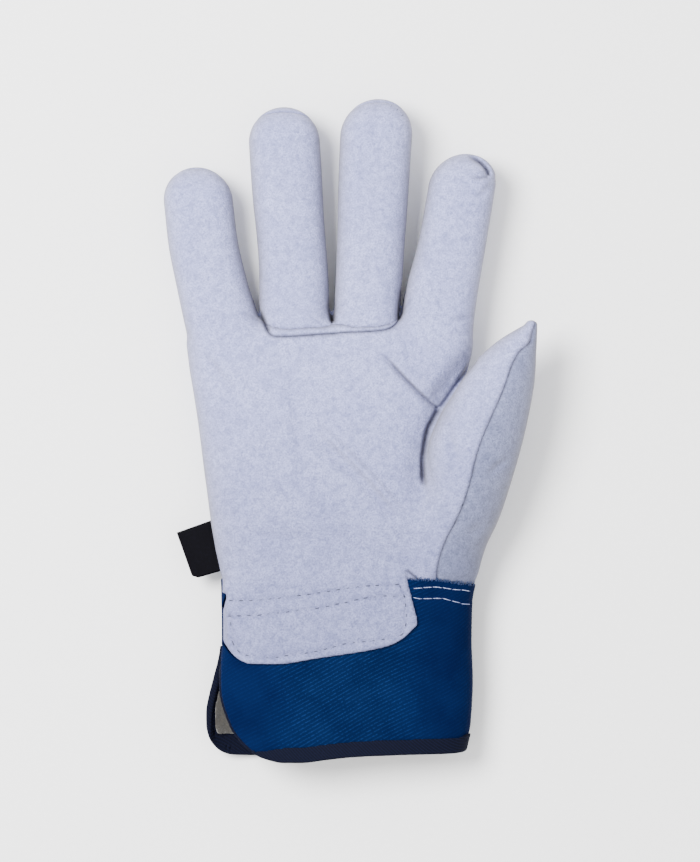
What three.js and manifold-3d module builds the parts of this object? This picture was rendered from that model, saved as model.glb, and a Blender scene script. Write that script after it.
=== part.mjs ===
// A winter work glove for the right hand, lying on its back with the palm up.
// Millimetres. +X is towards the thumb, +Y towards the fingertips and +Z up, out of the palm.
// The origin is on the surface that the glove lies on, at the middle of its outline.
//
// The hand is one hollow leather shell, made of five tapered digits joined to a palm and wrist.
// The shell is cut along the real seams: a palm piece that also faces the first and little fingers
// and the near side of the thumb, two finger fronts, a welt at their root, a back and a thumb back.
// A twill safety cuff with a slit on the little finger's side is bound with tape and lined with pile.
import * as THREE from "three";
import { mergeVertices } from "three/addons/utils/BufferGeometryUtils.js";
import Module from "manifold-3d";

const wasm = await Module();
wasm.setup();

// Driving dimensions
const wall = 2; // leather, and also the rubberised twill of the cuff
const gap = 0.3; // between any two pieces
const pile = 3; // thickness of the fleece lining
const tape = 0.9; // thickness of one leg of the edge binding
const tapeWidth = 5; // how far the binding reaches in from the edge
const liningSetback = 6.5; // from the cuff's edge to the lining's edge
const weltHeight = 2.8; // of the strip at the root of the two middle fingers
const weltProud = 0.6;
const weltEnds = 4; // the welt stops this far above the side seam
const tagThickness = 1.2;

const cuffTop = -60; // where the twill meets the leather
const cuffBottom = -127.9; // lower edge of the twill on the back
const slitTop = -86; // where the cuff opens on the little finger's side
const liningTop = -20; // the lining shows no deeper than this
const cuffFloor = tape + gap; // the binding lies on the surface, and so the twill is just off it

const digitSides = 14;
const palmSides = 24;
const tipAngles = [28, 50, 68, 84]; // where a round tip has its slices, in degrees
const reach = 400; // long enough for any cutting body
const pastFingertips = 150;
const runOn = 20; // how far a cutting tube goes on past the ends of its own tube

// Each tube is a stack of upright slices: where it is along Y, its left and right sides,
// and the heights of its underside and its crest.
const tubes = {
  little: {
    sides: digitSides,
    tipRadius: 13.9,
    lean: -0.06,
    rows: [
      { y: 16, left: -61.5, right: -36, low: 0.5, crest: 27 },
      { y: 40, left: -65.6, right: -35.4, low: 0, crest: 26 },
      { y: 60, left: -69.6, right: -41.2, low: 0.4, crest: 25 },
      { y: 76, left: -72.7, right: -44.8, low: 1, crest: 25 },
      { y: 91.6, left: -74.4, right: -46.8, low: 2, crest: 25 },
    ],
  },
  ring: {
    sides: digitSides,
    tipRadius: 14.2,
    lean: 0,
    rows: [
      { y: 16, left: -36, right: -8, low: 0.5, crest: 28 },
      { y: 40, left: -36, right: -7.7, low: 0, crest: 26.5 },
      { y: 60, left: -36.2, right: -8.6, low: 0.4, crest: 25.5 },
      { y: 92, left: -38.8, right: -10.8, low: 1.4, crest: 26 },
      { y: 115.4, left: -40.4, right: -12, low: 2.6, crest: 26.5 },
    ],
  },
  middle: {
    sides: digitSides,
    tipRadius: 14.7,
    lean: 0.05,
    rows: [
      { y: 16, left: -8, right: 19, low: 0.5, crest: 28 },
      { y: 40, left: -7.4, right: 19.2, low: 0, crest: 26.5 },
      { y: 60, left: -5.8, right: 20.6, low: 0.4, crest: 25.5 },
      { y: 92, left: -4.8, right: 23.2, low: 1.6, crest: 26.5 },
      { y: 117.9, left: -4, right: 24.8, low: 3, crest: 27 },
    ],
  },
  first: {
    sides: digitSides,
    tipRadius: 13.7,
    lean: 0.12,
    rows: [
      { y: 14, left: 17, right: 45.4, low: 0.5, crest: 27 },
      { y: 34, left: 18.2, right: 48.8, low: 0, crest: 26.5 },
      { y: 46, left: 19.8, right: 50, low: 0.2, crest: 26 },
      { y: 76, left: 27.4, right: 54.8, low: 1, crest: 26 },
      { y: 97.3, left: 31.2, right: 58.2, low: 2.4, crest: 26.5 },
    ],
  },
  thumb: {
    sides: digitSides,
    tipRadius: 1.6,
    lean: 0,
    rows: [
      { y: -59, left: 20, right: 50.2, low: 4, crest: 28 },
      { y: -51, left: 22, right: 52.6, low: 6, crest: 30 },
      { y: -35, left: 26, right: 59.4, low: 9, crest: 35 },
      { y: -19, left: 28.6, right: 64.6, low: 12, crest: 39 },
      { y: -7, left: 29.4, right: 68, low: 14, crest: 41 },
      { y: 5, left: 33.6, right: 70.8, low: 15.4, crest: 41.5 },
      { y: 20.6, left: 43.6, right: 73.4, low: 17.4, crest: 40.5 },
      { y: 29, left: 51, right: 74, low: 19.4, crest: 38.6 },
      { y: 36, left: 59, right: 74.4, low: 22, crest: 36 },
      { y: 42.4, left: 69.6, right: 74.4, low: 26, crest: 32 },
    ],
  },
  palm: {
    sides: palmSides,
    rows: [
      { y: cuffTop, left: -52, right: 50.6, low: -0.8, crest: 30.3 },
      { y: -50, left: -53, right: 50.6, low: -0.8, crest: 31 },
      { y: -36, left: -55.8, right: 49.6, low: -0.8, crest: 32.4 },
      { y: -20, left: -57.6, right: 46, low: -0.8, crest: 33 },
      { y: -4, left: -59.6, right: 42.8, low: -0.8, crest: 33 },
      { y: 12, left: -62, right: 44.4, low: -0.8, crest: 32 },
      { y: 28, left: -64.2, right: 47.6, low: -0.8, crest: 29.4 },
      { y: 40, left: -65.4, right: 48.6, low: -0.8, crest: 26.4 },
    ],
  },
  cuff: {
    sides: palmSides,
    rows: [
      { y: -136, left: -56.2, right: 45.4, low: 0.4, crest: 27 },
      { y: -128, left: -56.2, right: 46.4, low: 0.4, crest: 27 },
      { y: -116, left: -56.2, right: 48.4, low: 0.4, crest: 27.4 },
      { y: -100, left: -53.8, right: 49.2, low: 0.4, crest: 28 },
      { y: -84, left: -52, right: 48.6, low: 0.4, crest: 28.8 },
      { y: -68, left: -51.6, right: 49, low: 0.4, crest: 29.6 },
      { y: cuffTop + 6, left: -51.8, right: 50.4, low: 0.4, crest: 30.4 },
    ],
  },
};
const belt = 0.46; // height of a slice's widest place, as a share of its thickness
const topPower = 2.35; // roundness of a slice above the belt: 2 is an ellipse
const underPower = 2.5;

// Height of the seam between the palm side and the back, along the hand.
const sideSeam = [
  { y: -reach, z: 12.5 },
  { y: cuffTop, z: 12.5 },
  { y: 0, z: 12.5 },
  { y: 60, z: 12.4 },
  { y: 110, z: 14 },
  { y: reach, z: 14 },
];

// Seams and edges seen from above
const rootSeam = [
  { x: -38.4, y: 52 },
  { x: -35.2, y: 45 },
  { x: -31.4, y: 38.2 },
  { x: -13.6, y: 37.8 },
  { x: 0, y: 39.2 },
  { x: 13, y: 39.8 },
  { x: 18.4, y: 43.6 },
  { x: 22.6, y: 54 },
];
const fingerSplit = -7.6; // between the ring and middle fingers
const thumbSeam = [
  { x: 35, y: -64 },
  { x: 35.6, y: -50 },
  { x: 42.2, y: -35 },
  { x: 48, y: -20 },
  { x: 53, y: -3 },
  { x: 59, y: 14 },
  { x: 65, y: 28 },
  { x: 70.4, y: 34 },
  { x: 72.6, y: 48 },
];
const tabSides = { left: -49.2, right: 22.4, top: cuffTop + 5 };
const tab = [
  { x: tabSides.left, y: tabSides.top },
  { x: -50.8, y: -83.6 },
  { x: -47.2, y: -88.5 },
  { x: -42, y: -92 },
  { x: -34.6, y: -92.9 },
  { x: -14.8, y: -90.6 },
  { x: 8.9, y: -87 },
  { x: 21.1, y: -82.4 },
  { x: 26.9, y: -76.6 },
  { x: tabSides.right, y: tabSides.top },
];
const tagOutline = [
  { x: -50, y: -33.4 },
  { x: -69, y: -40.2 },
  { x: -63, y: -57.6 },
  { x: -60.6, y: -58.6 },
  { x: -46, y: -54.2 },
];

// The slit's two edges and the cuff's lower corners
const frontEdge = { left: -51.2, bottom: -131.3, radius: 23, bend: { x: 0, y: -128.6 }, bottomAtRight: -127 };
const backEdge = { left: -56.2, shoulder: 8, radius: 12 };
const cuffSeam = 12.5; // height at which the front's outline gives way to the back's
const slit = { low: 11, high: 16, end: -20 }; // heights of its two edges, and how far in it is cut
const farRight = 80;
const farLeft = -120;

// A closed mesh as a solid. Only positions are kept, so that shared vertices merge.
function solidOf(geometry) {
  const bare = geometry.index ? geometry.toNonIndexed() : geometry.clone();
  bare.deleteAttribute("normal");
  bare.deleteAttribute("uv");
  const merged = mergeVertices(bare, 1e-4);
  return new wasm.Manifold(
    new wasm.Mesh({
      numProp: 3,
      vertProperties: new Float32Array(merged.attributes.position.array),
      triVerts: new Uint32Array(merged.index.array),
    }),
  );
}

// One point of a slice: a superellipse, flatter or rounder above and below its belt.
function slicePoint(slice, turn) {
  const middle = (slice.left + slice.right) / 2;
  const beltHeight = slice.low + (slice.crest - slice.low) * belt;
  const cos = Math.cos(turn);
  const sin = Math.sin(turn);
  const power = 2 / (sin > 0 ? topPower : underPower);
  const rise = sin > 0 ? slice.crest - beltHeight : beltHeight - slice.low;
  return new THREE.Vector3(
    middle + ((slice.right - slice.left) / 2) * Math.sign(cos) * Math.abs(cos) ** power,
    slice.y,
    beltHeight + rise * Math.sign(sin) * Math.abs(sin) ** power,
  );
}

// The slices of a tube, grown outwards by a distance. A digit gets a round tip past its last row.
function slicesOf(tube, grow) {
  const slices = tube.rows.map((row) => ({
    y: row.y,
    left: row.left - grow,
    right: row.right + grow,
    low: row.low - grow,
    crest: row.crest + grow,
  }));
  if (!tube.tipRadius) return slices;
  const last = slices[slices.length - 1];
  const beltHeight = last.low + (last.crest - last.low) * belt;
  const middle = (last.left + last.right) / 2;
  for (const degrees of tipAngles) {
    const angle = THREE.MathUtils.degToRad(degrees);
    const along = (tube.tipRadius + grow) * Math.sin(angle);
    const share = Math.cos(angle);
    const shift = middle + tube.lean * along;
    slices.push({
      y: last.y + along,
      left: shift + (last.left - middle) * share,
      right: shift + (last.right - middle) * share,
      low: beltHeight + (last.low - beltHeight) * share,
      crest: beltHeight + (last.crest - beltHeight) * share,
    });
  }
  return slices;
}

// A closed loft through a tube's slices.
function loft(tube, grow = 0) {
  const slices = slicesOf(tube, grow);
  const points = [];
  for (const slice of slices)
    for (let i = 0; i < tube.sides; i++) points.push(slicePoint(slice, (2 * Math.PI * i) / tube.sides));
  const faces = [];
  for (let s = 0; s < slices.length - 1; s++)
    for (let i = 0; i < tube.sides; i++) {
      const next = (i + 1) % tube.sides;
      const [a, b] = [s * tube.sides + i, s * tube.sides + next];
      const [c, d] = [a + tube.sides, b + tube.sides];
      faces.push(a, c, b, b, c, d);
    }
  const lastRing = (slices.length - 1) * tube.sides;
  for (let i = 1; i < tube.sides - 1; i++) {
    faces.push(0, i, i + 1);
    faces.push(lastRing, lastRing + i + 1, lastRing + i);
  }
  const geometry = new THREE.BufferGeometry().setFromPoints(points);
  geometry.setIndex(faces);
  return solidOf(geometry);
}

// An upright prism over an outline seen from above.
function prism(outline, from = -reach / 2, to = reach / 2) {
  const shape = new THREE.Shape(outline.map((p) => new THREE.Vector2(p.x, p.y)));
  const geometry = new THREE.ExtrudeGeometry(shape, { depth: to - from, bevelEnabled: false });
  return solidOf(geometry.translate(0, 0, from));
}

// An outline with each corner moved away from its middle by a distance.
function outset(outline, distance) {
  const middle = new THREE.Vector2();
  for (const p of outline) middle.add(new THREE.Vector2(p.x, p.y).divideScalar(outline.length));
  return outline.map((p) => {
    const away = new THREE.Vector2(p.x, p.y).sub(middle);
    return new THREE.Vector2(p.x, p.y).add(away.setLength(distance));
  });
}

// Everything above a height that follows a profile along the hand.
function above(profile, shift = 0) {
  const line = profile.map((p) => new THREE.Vector2(p.y, p.z + shift));
  line.push(new THREE.Vector2(reach, reach), new THREE.Vector2(-reach, reach));
  const geometry = new THREE.ExtrudeGeometry(new THREE.Shape(line), { depth: reach, bevelEnabled: false });
  const turn = new THREE.Matrix4().makeBasis(
    new THREE.Vector3(0, 1, 0),
    new THREE.Vector3(0, 0, 1),
    new THREE.Vector3(1, 0, 0),
  );
  return solidOf(geometry.applyMatrix4(turn).translate(-reach / 2, 0, 0));
}

const level = (z) => [
  { y: -reach, z },
  { y: reach, z },
];
const aboveLevel = (z) => above(level(z));

// Everything on the fingers' side of a line across the hand.
function beyond(y) {
  return prism([
    { x: -reach, y },
    { x: reach, y },
    { x: reach, y: reach },
    { x: -reach, y: reach },
  ]);
}

// The largest body of a solid, without the slivers that a cut can leave.
function largest(solid) {
  const bodies = solid.decompose();
  return bodies.reduce((best, body) => (body.volume() > best.volume() ? body : best));
}

const join = (solids) => solids.reduce((sum, solid) => sum.add(solid));

// The hand: palm and digits in one, and the same shape grown or shrunk for its walls.
function hand(grow, floor, names = Object.keys(tubes).filter((name) => name !== "cuff")) {
  const body = join(names.map((name) => loft(tubes[name], grow)));
  return body.intersect(aboveLevel(floor));
}

// The outline inside which the front of the cuff lies, taken in from its edge by a distance.
function frontOutline(inset) {
  const { left, bottom, bend, bottomAtRight, radius } = frontEdge;
  const shape = new THREE.Shape();
  shape.moveTo(farLeft, reach);
  shape.lineTo(farLeft, slitTop);
  shape.lineTo(left + inset, slitTop);
  shape.absarc(left + radius, bottom + radius, radius - inset, Math.PI, 1.5 * Math.PI, false);
  shape.lineTo(bend.x, bend.y + inset);
  shape.lineTo(farRight, bottomAtRight + inset);
  shape.lineTo(farRight, reach);
  return shape.getPoints(8);
}

// The same for the back, whose left side flares past the front's.
function backOutline(inset) {
  const { left, shoulder, radius } = backEdge;
  const shape = new THREE.Shape();
  shape.moveTo(farLeft, reach);
  shape.lineTo(farLeft, slitTop);
  shape.lineTo(left + inset, cuffBottom + radius + shoulder);
  shape.absarc(left + radius, cuffBottom + radius, radius - inset, Math.PI, 1.5 * Math.PI, false);
  shape.lineTo(farRight, cuffBottom + inset);
  shape.lineTo(farRight, reach);
  return shape.getPoints(6);
}

// One layer of the cuff's wall, between its two skins, cut to its outline and slit.
function cuffLayer({ outer, inner, floor, inset }) {
  const skin = loft(tubes.cuff, outer)
    .intersect(aboveLevel(floor))
    .subtract(loft(stretched(tubes.cuff), inner).intersect(aboveLevel(floor + outer - inner)));
  const upper = aboveLevel(cuffSeam);
  const front = skin.intersect(prism(frontOutline(inset))).intersect(upper);
  const back = skin.intersect(prism(backOutline(inset))).subtract(upper);
  return front.add(back).subtract(slitSpace(inset));
}

// A tube run on past both ends, so that it opens the mouth of what it is cut from.
function stretched(tube) {
  const rows = tube.rows;
  const first = { ...rows[0], y: rows[0].y - runOn };
  const last = { ...rows[rows.length - 1], y: rows[rows.length - 1].y + runOn };
  return { ...tube, rows: [first, ...rows, last] };
}

function slitSpace(inset) {
  const outline = [
    { x: farLeft, y: -reach },
    { x: slit.end, y: -reach },
    { x: slit.end, y: slitTop + inset },
    { x: farLeft, y: slitTop + inset },
  ];
  return prism(outline, slit.low - inset, slit.high + inset);
}

function lookOf(color, roughness) {
  return new THREE.MeshStandardMaterial({ color, roughness, metalness: 0 });
}

const looks = {
  leather: lookOf("#c3c7d8", 0.95),
  twill: lookOf("#0b3a73", 0.85),
  binding: lookOf("#1c1c38", 0.9),
  label: lookOf("#14131c", 0.6),
  fleece: lookOf("#d8d2c2", 1),
};

const glove = new THREE.Group();

function addPiece(name, look, solid) {
  const made = largest(solid).getMesh();
  const geometry = new THREE.BufferGeometry();
  geometry.setAttribute("position", new THREE.BufferAttribute(new Float32Array(made.vertProperties), 3));
  geometry.setIndex(new THREE.BufferAttribute(new Uint32Array(made.triVerts), 1));
  geometry.computeVertexNormals();
  const mesh = new THREE.Mesh(geometry, look);
  mesh.name = name;
  glove.add(mesh);
}

// The hand's leather shell
const shell = hand(0, 0).subtract(hand(-wall, wall)).intersect(beyond(cuffTop));
const wristRow = tubes.palm.rows[0];
const wristTube = {
  sides: palmSides,
  rows: [
    { ...wristRow, y: cuffTop - runOn },
    { ...wristRow, y: cuffTop + gap / 2 },
  ],
};
const mouth = loft(wristTube, -wall).intersect(aboveLevel(wall));
const openShell = shell.subtract(mouth);

const frontSide = openShell.intersect(above(sideSeam, gap / 2));
const backSide = openShell.subtract(above(sideSeam, -gap / 2));

// Regions seen from above
const twoFingers = (rise) =>
  prism([
    ...rootSeam.map((p) => ({ x: p.x, y: p.y + rise })),
    { x: 30, y: pastFingertips },
    { x: -46, y: pastFingertips },
  ]);
const leftOfSplit = (shift) =>
  prism([
    { x: -60, y: 0 },
    { x: fingerSplit + shift, y: 0 },
    { x: fingerSplit + shift, y: pastFingertips },
    { x: -60, y: pastFingertips },
  ]);
const outsideThumbSeam = (shift) =>
  prism([
    ...thumbSeam.map((p) => ({ x: p.x + shift, y: p.y })),
    { x: 90, y: 60 },
    { x: 90, y: -64 },
  ]);

// The palm piece, with the tab that covers the cuff
const tabSide = aboveLevel(slit.high);
const tabPlate = loft(tubes.cuff, gap + wall)
  .subtract(loft(stretched(tubes.cuff), gap))
  .intersect(prism(tab))
  .intersect(tabSide);
const tabStep = prism([
  { x: tabSides.left, y: cuffTop + gap },
  { x: tabSides.right, y: cuffTop + gap },
  { x: tabSides.right, y: tabSides.top + 1 },
  { x: tabSides.left, y: tabSides.top + 1 },
]);
const tabRoot = hand(gap + wall, 0).subtract(hand(-wall, wall)).intersect(tabStep).intersect(tabSide);
const besideCuff = beyond(cuffTop + gap);
const palm = frontSide
  .intersect(besideCuff)
  .subtract(twoFingers(0))
  .subtract(outsideThumbSeam(-gap / 2));
addPiece("palm_leather", looks.leather, join([palm, tabPlate, tabRoot]));

// The fronts of the two middle fingers, and the welt at their root
const fingerFronts = frontSide.intersect(twoFingers(gap + weltHeight + gap));
addPiece("ring_finger_front", looks.leather, fingerFronts.intersect(leftOfSplit(-gap / 2)));
addPiece("middle_finger_front", looks.leather, fingerFronts.subtract(leftOfSplit(gap / 2)));
const welt = hand(weltProud, 0)
  .subtract(hand(-wall, wall))
  .intersect(above(sideSeam, weltEnds))
  .intersect(twoFingers(gap))
  .subtract(twoFingers(gap + weltHeight));
addPiece("finger_root_welt", looks.leather, welt);

// The outer half of the thumb, and the back of the hand
addPiece("thumb_back", looks.leather, frontSide.intersect(besideCuff).intersect(outsideThumbSeam(gap / 2)));
addPiece("back_leather", looks.leather, backSide.intersect(besideCuff));

// The cuff and its binding, which folds over the edge and stops under the tab
const cuff = cuffLayer({ outer: 0, inner: -wall, floor: cuffFloor, inset: 0 });
addPiece("cuff", looks.twill, cuff.subtract(beyond(cuffTop)));

const folded = gap + tape;
const sleeve = cuffLayer({ outer: folded, inner: -wall - folded, floor: 0, inset: -folded });
const core = cuffLayer({ outer: gap, inner: -wall - gap, floor: cuffFloor - gap, inset: -gap });
const pastTape = cuffLayer({ outer: 2 * folded, inner: -wall - 2 * folded, floor: -folded, inset: tapeWidth });
const underTab = prism(outset(tab, 1.5 * gap), slit.high, reach);
const binding = sleeve.subtract(core).subtract(pastTape).subtract(beyond(slitTop)).subtract(underTab);
addPiece("cuff_binding", looks.binding, binding);

// The lining, from just inside the mouth to as deep as it shows
const lined = wall + gap;
const liningFloor = cuffFloor + lined;
const cuffLining = cuffLayer({ outer: -lined, inner: -lined - pile, floor: liningFloor, inset: liningSetback });
const wristParts = ["palm", "thumb"];
const handLining = hand(-lined, liningFloor, wristParts)
  .subtract(hand(-lined - pile, liningFloor + pile, wristParts))
  .subtract(beyond(liningTop));
addPiece("lining", looks.fleece, join([cuffLining, handLining.intersect(beyond(cuffTop))]));

// A folded woven tag, sewn into the side seam
const tagHeight = 12;
addPiece("side_tag", looks.label, prism(tagOutline, tagHeight, tagHeight + tagThickness).subtract(hand(gap, 0)));

export default glove;
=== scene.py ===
import math
import time

import bpy
import numpy as np
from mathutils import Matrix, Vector
from mathutils.bvhtree import BVHTree


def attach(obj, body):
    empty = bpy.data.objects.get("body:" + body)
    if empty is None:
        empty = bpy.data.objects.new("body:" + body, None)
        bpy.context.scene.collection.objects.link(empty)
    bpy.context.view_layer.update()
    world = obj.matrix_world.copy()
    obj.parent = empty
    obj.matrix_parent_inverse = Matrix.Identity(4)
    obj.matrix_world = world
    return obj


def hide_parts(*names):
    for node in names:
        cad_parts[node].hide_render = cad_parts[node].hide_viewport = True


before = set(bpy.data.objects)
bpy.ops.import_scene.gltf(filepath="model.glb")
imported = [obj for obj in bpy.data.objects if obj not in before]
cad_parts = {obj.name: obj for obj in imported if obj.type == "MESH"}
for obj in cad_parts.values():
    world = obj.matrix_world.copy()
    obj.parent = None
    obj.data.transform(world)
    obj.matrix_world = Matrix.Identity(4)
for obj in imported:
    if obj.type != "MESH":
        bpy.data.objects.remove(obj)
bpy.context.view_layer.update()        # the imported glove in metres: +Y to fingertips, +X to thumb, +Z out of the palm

# A lined work glove of split leather, right hand, lying on its back.
# The shape is worked out in millimetres as one smooth distance field: tapered tubes melted into a palm,
# with folds pressed into it. Each piece is the part of that field on its own side of the real seams.

mm = 0.001
started = time.time()
chance = np.random.default_rng(11)


def say(stage):
    print(f"{time.time() - started:5.1f} s  {stage}")


# Shape of the hand. A row is a slice across the tube: y, left side, right side, underside, crest.
hand = {
    "beltHeight": 0.46,     # where a slice is widest, as a share of its thickness
    "topRoundness": 2.75,   # 2 is an ellipse, more is squarer
    "underRoundness": 2.5,
    "blend": 3.2,           # how far a digit melts into the palm
    "thumbBlend": (0.9, 6.5),   # sharp where the thumb lies over the first finger's root, soft at the heel
    "wobble": 0.3,          # soft unevenness of stuffed leather
    "leather": 1.7,         # thickness of the split leather
    "seamRoll": 0.85,       # how far the leather dips into a seam
    "sideSeam": 12.5,       # height of the seam round the hand's outline
    "tabEdge": 14.4,        # how far down the cuff's side the tab comes
}
digits = {
    "little": dict(tip=13.9, lean=-0.06, rows=[
        (16, -59, -38, 3, 24), (40, -65.6, -35.8, 0, 26), (60, -69.6, -41.2, 0.4, 25),
        (76, -72.7, -44.8, 1, 25), (91.6, -74.4, -46.8, 2, 25)]),
    "ring": dict(tip=14.2, lean=0.0, rows=[
        (16, -34, -11, 3, 25), (40, -36.4, -8, 0, 26.5), (60, -36.4, -8.6, 0.4, 25.5),
        (92, -38.8, -10.8, 1.4, 26), (115.4, -40.4, -12, 2.6, 26.5)]),
    "middle": dict(tip=14.6, lean=0.05, rows=[
        (16, -5, 16, 3, 25), (40, -7, 19.4, 0, 26.5), (60, -5.8, 20.6, 0.4, 25.5),
        (92, -4.8, 23.2, 1.6, 26.5), (117.9, -4, 24.8, 3, 27)]),
    "first": dict(tip=13.7, lean=0.12, rows=[
        (14, 20, 42.4, 3, 24), (34, 18.8, 48.8, 0, 26.5), (46, 20.2, 50, 0.2, 26),
        (76, 27.4, 54.8, 1, 26), (97.3, 31.2, 58.2, 2.4, 26.5)]),
    "thumb": dict(tip=1.6, lean=0.0, topRoundness=2.0, rows=[
        (-59, 20, 49.4, 4, 28), (-51, 22, 52.0, 6, 30), (-35, 26, 59.4, 9, 35), (-19, 28.6, 64.6, 12, 39),
        (-7, 29.4, 68, 14, 41), (5, 33.6, 70.8, 15.4, 41.5), (20.6, 43.6, 73.4, 17.4, 40.5),
        (29, 51, 74, 19.4, 38.6), (36, 59, 74.4, 22, 36), (42.4, 69.6, 74.4, 26, 32)]),
}
palmTube = dict(tip=13.0, lean=0.0, rows=[
    (-66, -51, 49, -0.8, 30), (-58, -51.4, 49.6, -0.8, 30.4), (-47, -53.6, 50.6, -0.8, 31),
    (-36, -55.6, 49.6, -0.8, 32.4),
    (-20, -57.6, 46, -0.8, 33), (-4, -59.6, 42.8, -0.8, 33), (12, -62, 44.4, -0.8, 32),
    (26, -64.2, 47.2, -0.8, 29.6), (34, -65, 48.2, -0.8, 27.8)])
cuffTube = dict(tip=0, lean=0.0, rows=[
    (-136, -57.8, 44.6, 0.4, 27), (-128, -57.8, 45.9, 0.4, 27), (-116, -57.8, 48.4, 0.4, 27.4),
    (-100, -54.8, 49.2, 0.4, 28), (-84, -51.4, 48.6, 0.4, 28.8), (-68, -51.6, 49, 0.4, 29.6),
    (-58, -51.9, 50.2, 0.4, 30.3)])


# Curves and blends

def throughPoints(knots, values, at):
    # smooth curve through the points that never overshoots, held level past its ends
    knots, values = np.asarray(knots, float), np.asarray(values, float)
    steps = np.diff(knots)
    slopes = np.diff(values) / steps
    tangents = np.zeros(len(knots))
    tangents[0], tangents[-1] = slopes[0], slopes[-1]
    for i in range(1, len(knots) - 1):
        if slopes[i - 1] * slopes[i] > 0:
            tangents[i] = 2 * slopes[i - 1] * slopes[i] / (slopes[i - 1] + slopes[i])
    at = np.clip(at, knots[0], knots[-1])
    i = np.clip(np.searchsorted(knots, at, side="right") - 1, 0, len(steps) - 1)
    t = (at - knots[i]) / steps[i]
    start = (1 + 2 * t) * (1 - t) ** 2 * values[i] + t * (1 - t) ** 2 * steps[i] * tangents[i]
    return start + t * t * (3 - 2 * t) * values[i + 1] + t * t * (t - 1) * steps[i] * tangents[i + 1]


def smoothPath(points, spacing=1.0):
    # an open run of plan points, rounded through each of them
    points = np.asarray(points, float)
    along = np.concatenate([[0], np.cumsum(np.linalg.norm(np.diff(points, axis=0), axis=1))])
    at = np.linspace(0, along[-1], max(3, int(along[-1] / spacing)))
    return np.stack([throughPoints(along, points[:, k], at) for k in range(points.shape[1])], 1)


def smoothStep(low, high, value):
    t = np.clip((value - low) / (high - low), 0, 1)
    return t * t * (3 - 2 * t)


def smoothMin(a, b, reach):
    overlap = np.maximum(reach - abs(a - b), 0) / reach
    return np.minimum(a, b) - overlap * overlap * reach / 4


def smoothMax(a, b, reach):
    return -smoothMin(-a, -b, reach)


# The block of space that a piece is worked out in

class Block:
    def __init__(self, low, high, step):
        self.step = step
        self.low = np.array(low, float)
        self.axes = [np.arange(low[k], high[k] + step, step) for k in range(3)]
        self.x = self.axes[0][:, None, None]
        self.y = self.axes[1][None, :, None]
        self.z = self.axes[2][None, None, :]
        self.shape = tuple(len(a) for a in self.axes)
        self.plan = (self.axes[0][:, None], self.axes[1][None, :])

    def part(self, low, high):
        # slices that take in a smaller box
        spans = [np.searchsorted(a, (low[k], high[k])) for k, a in enumerate(self.axes)]
        return tuple(slice(max(a - 1, 0), b + 1) for a, b in spans)


farAway = 30.0      # mm, what a field holds where its skin is nowhere near


def tubeDistance(block, tube, margin=9.0):
    # distance to a tube's skin, less than zero inside it, in a box round it and a large number elsewhere
    rows = np.array(tube["rows"], float)
    tip = tube["tip"]
    low = (rows[:, 1].min() - margin, rows[0, 0] - (margin if tip else 999), rows[:, 3].min() - margin)
    end = rows[-1, 0] + tip + (margin if tip else 999)
    high = (rows[:, 2].max() + margin, end, rows[:, 4].max() + margin)
    window = block.part(low, high)
    x, y, z = block.x[window[0]], block.y[:, window[1]], block.z[:, :, window[2]]
    distance = np.full(block.shape, farAway, np.float32)
    if min(x.size, y.size, z.size) < 2:
        return distance
    left, right, under, crest = (throughPoints(rows[:, 0], rows[:, k], y) for k in (1, 2, 3, 4))
    past = np.maximum(y - rows[-1, 0], 0)
    middle = (left + right) / 2 + tube["lean"] * past
    across = abs(x - middle) / ((right - left) / 2)
    belt = under + (crest - under) * hand["beltHeight"]
    above = z > belt
    upright = abs(z - belt) / np.where(above, crest - belt, belt - under)
    top, bottom = tube.get("topRoundness", hand["topRoundness"]), hand["underRoundness"]
    gauge = np.where(above, (across**top + upright**top) ** (1 / top),
                     (across**bottom + upright**bottom) ** (1 / bottom))
    if tip:
        gauge = np.sqrt(gauge**2 + (past / tip) ** 2)
    slope = np.sqrt(sum(g**2 for g in np.gradient(gauge, block.step)))
    fading = 0.6 * np.maximum(rows[0, 0] - y, 0) if tip else 0     # a digit's root fades away inside the palm
    distance[window] = np.clip((gauge - 1) / np.maximum(slope, 1e-3) + fading, -farAway, farAway)
    return distance


def pathDistance(x, y, path, closed=False):
    # plan distance to a path, which side of it a place is on, and how far along the nearest point is
    ends = np.vstack([path, path[:1]]) if closed else path
    best = np.full(np.broadcast(x, y).shape, 1e9)
    side, along = np.ones_like(best), np.zeros_like(best)
    inside = np.zeros(best.shape, bool)
    run = 0.0
    for (ax, ay), (bx, by) in zip(ends[:-1], ends[1:]):
        dx, dy = bx - ax, by - ay
        length = math.hypot(dx, dy)
        if length < 1e-9:
            continue
        t = np.clip(((x - ax) * dx + (y - ay) * dy) / length**2, 0, 1)
        gap = np.hypot(x - ax - t * dx, y - ay - t * dy)
        nearer = gap < best
        best = np.where(nearer, gap, best)
        along = np.where(nearer, run + t * length, along)
        side = np.where(nearer, np.sign((y - ay) * dx - (x - ax) * dy), side)
        if closed:
            crosses = ((ay > y) != (by > y)) & (x < ax + (y - ay) * dx / (dy if dy else 1e-9))
            inside ^= crosses
        run += length
    return (np.where(inside, -best, best) if closed else best), side, along / max(run, 1e-9)


def outsideOf(block, path):
    # plan distance to a closed path, less than zero inside it
    return pathDistance(*block.plan, np.asarray(path), closed=True)[0]


# Seams and edges seen from above

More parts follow.
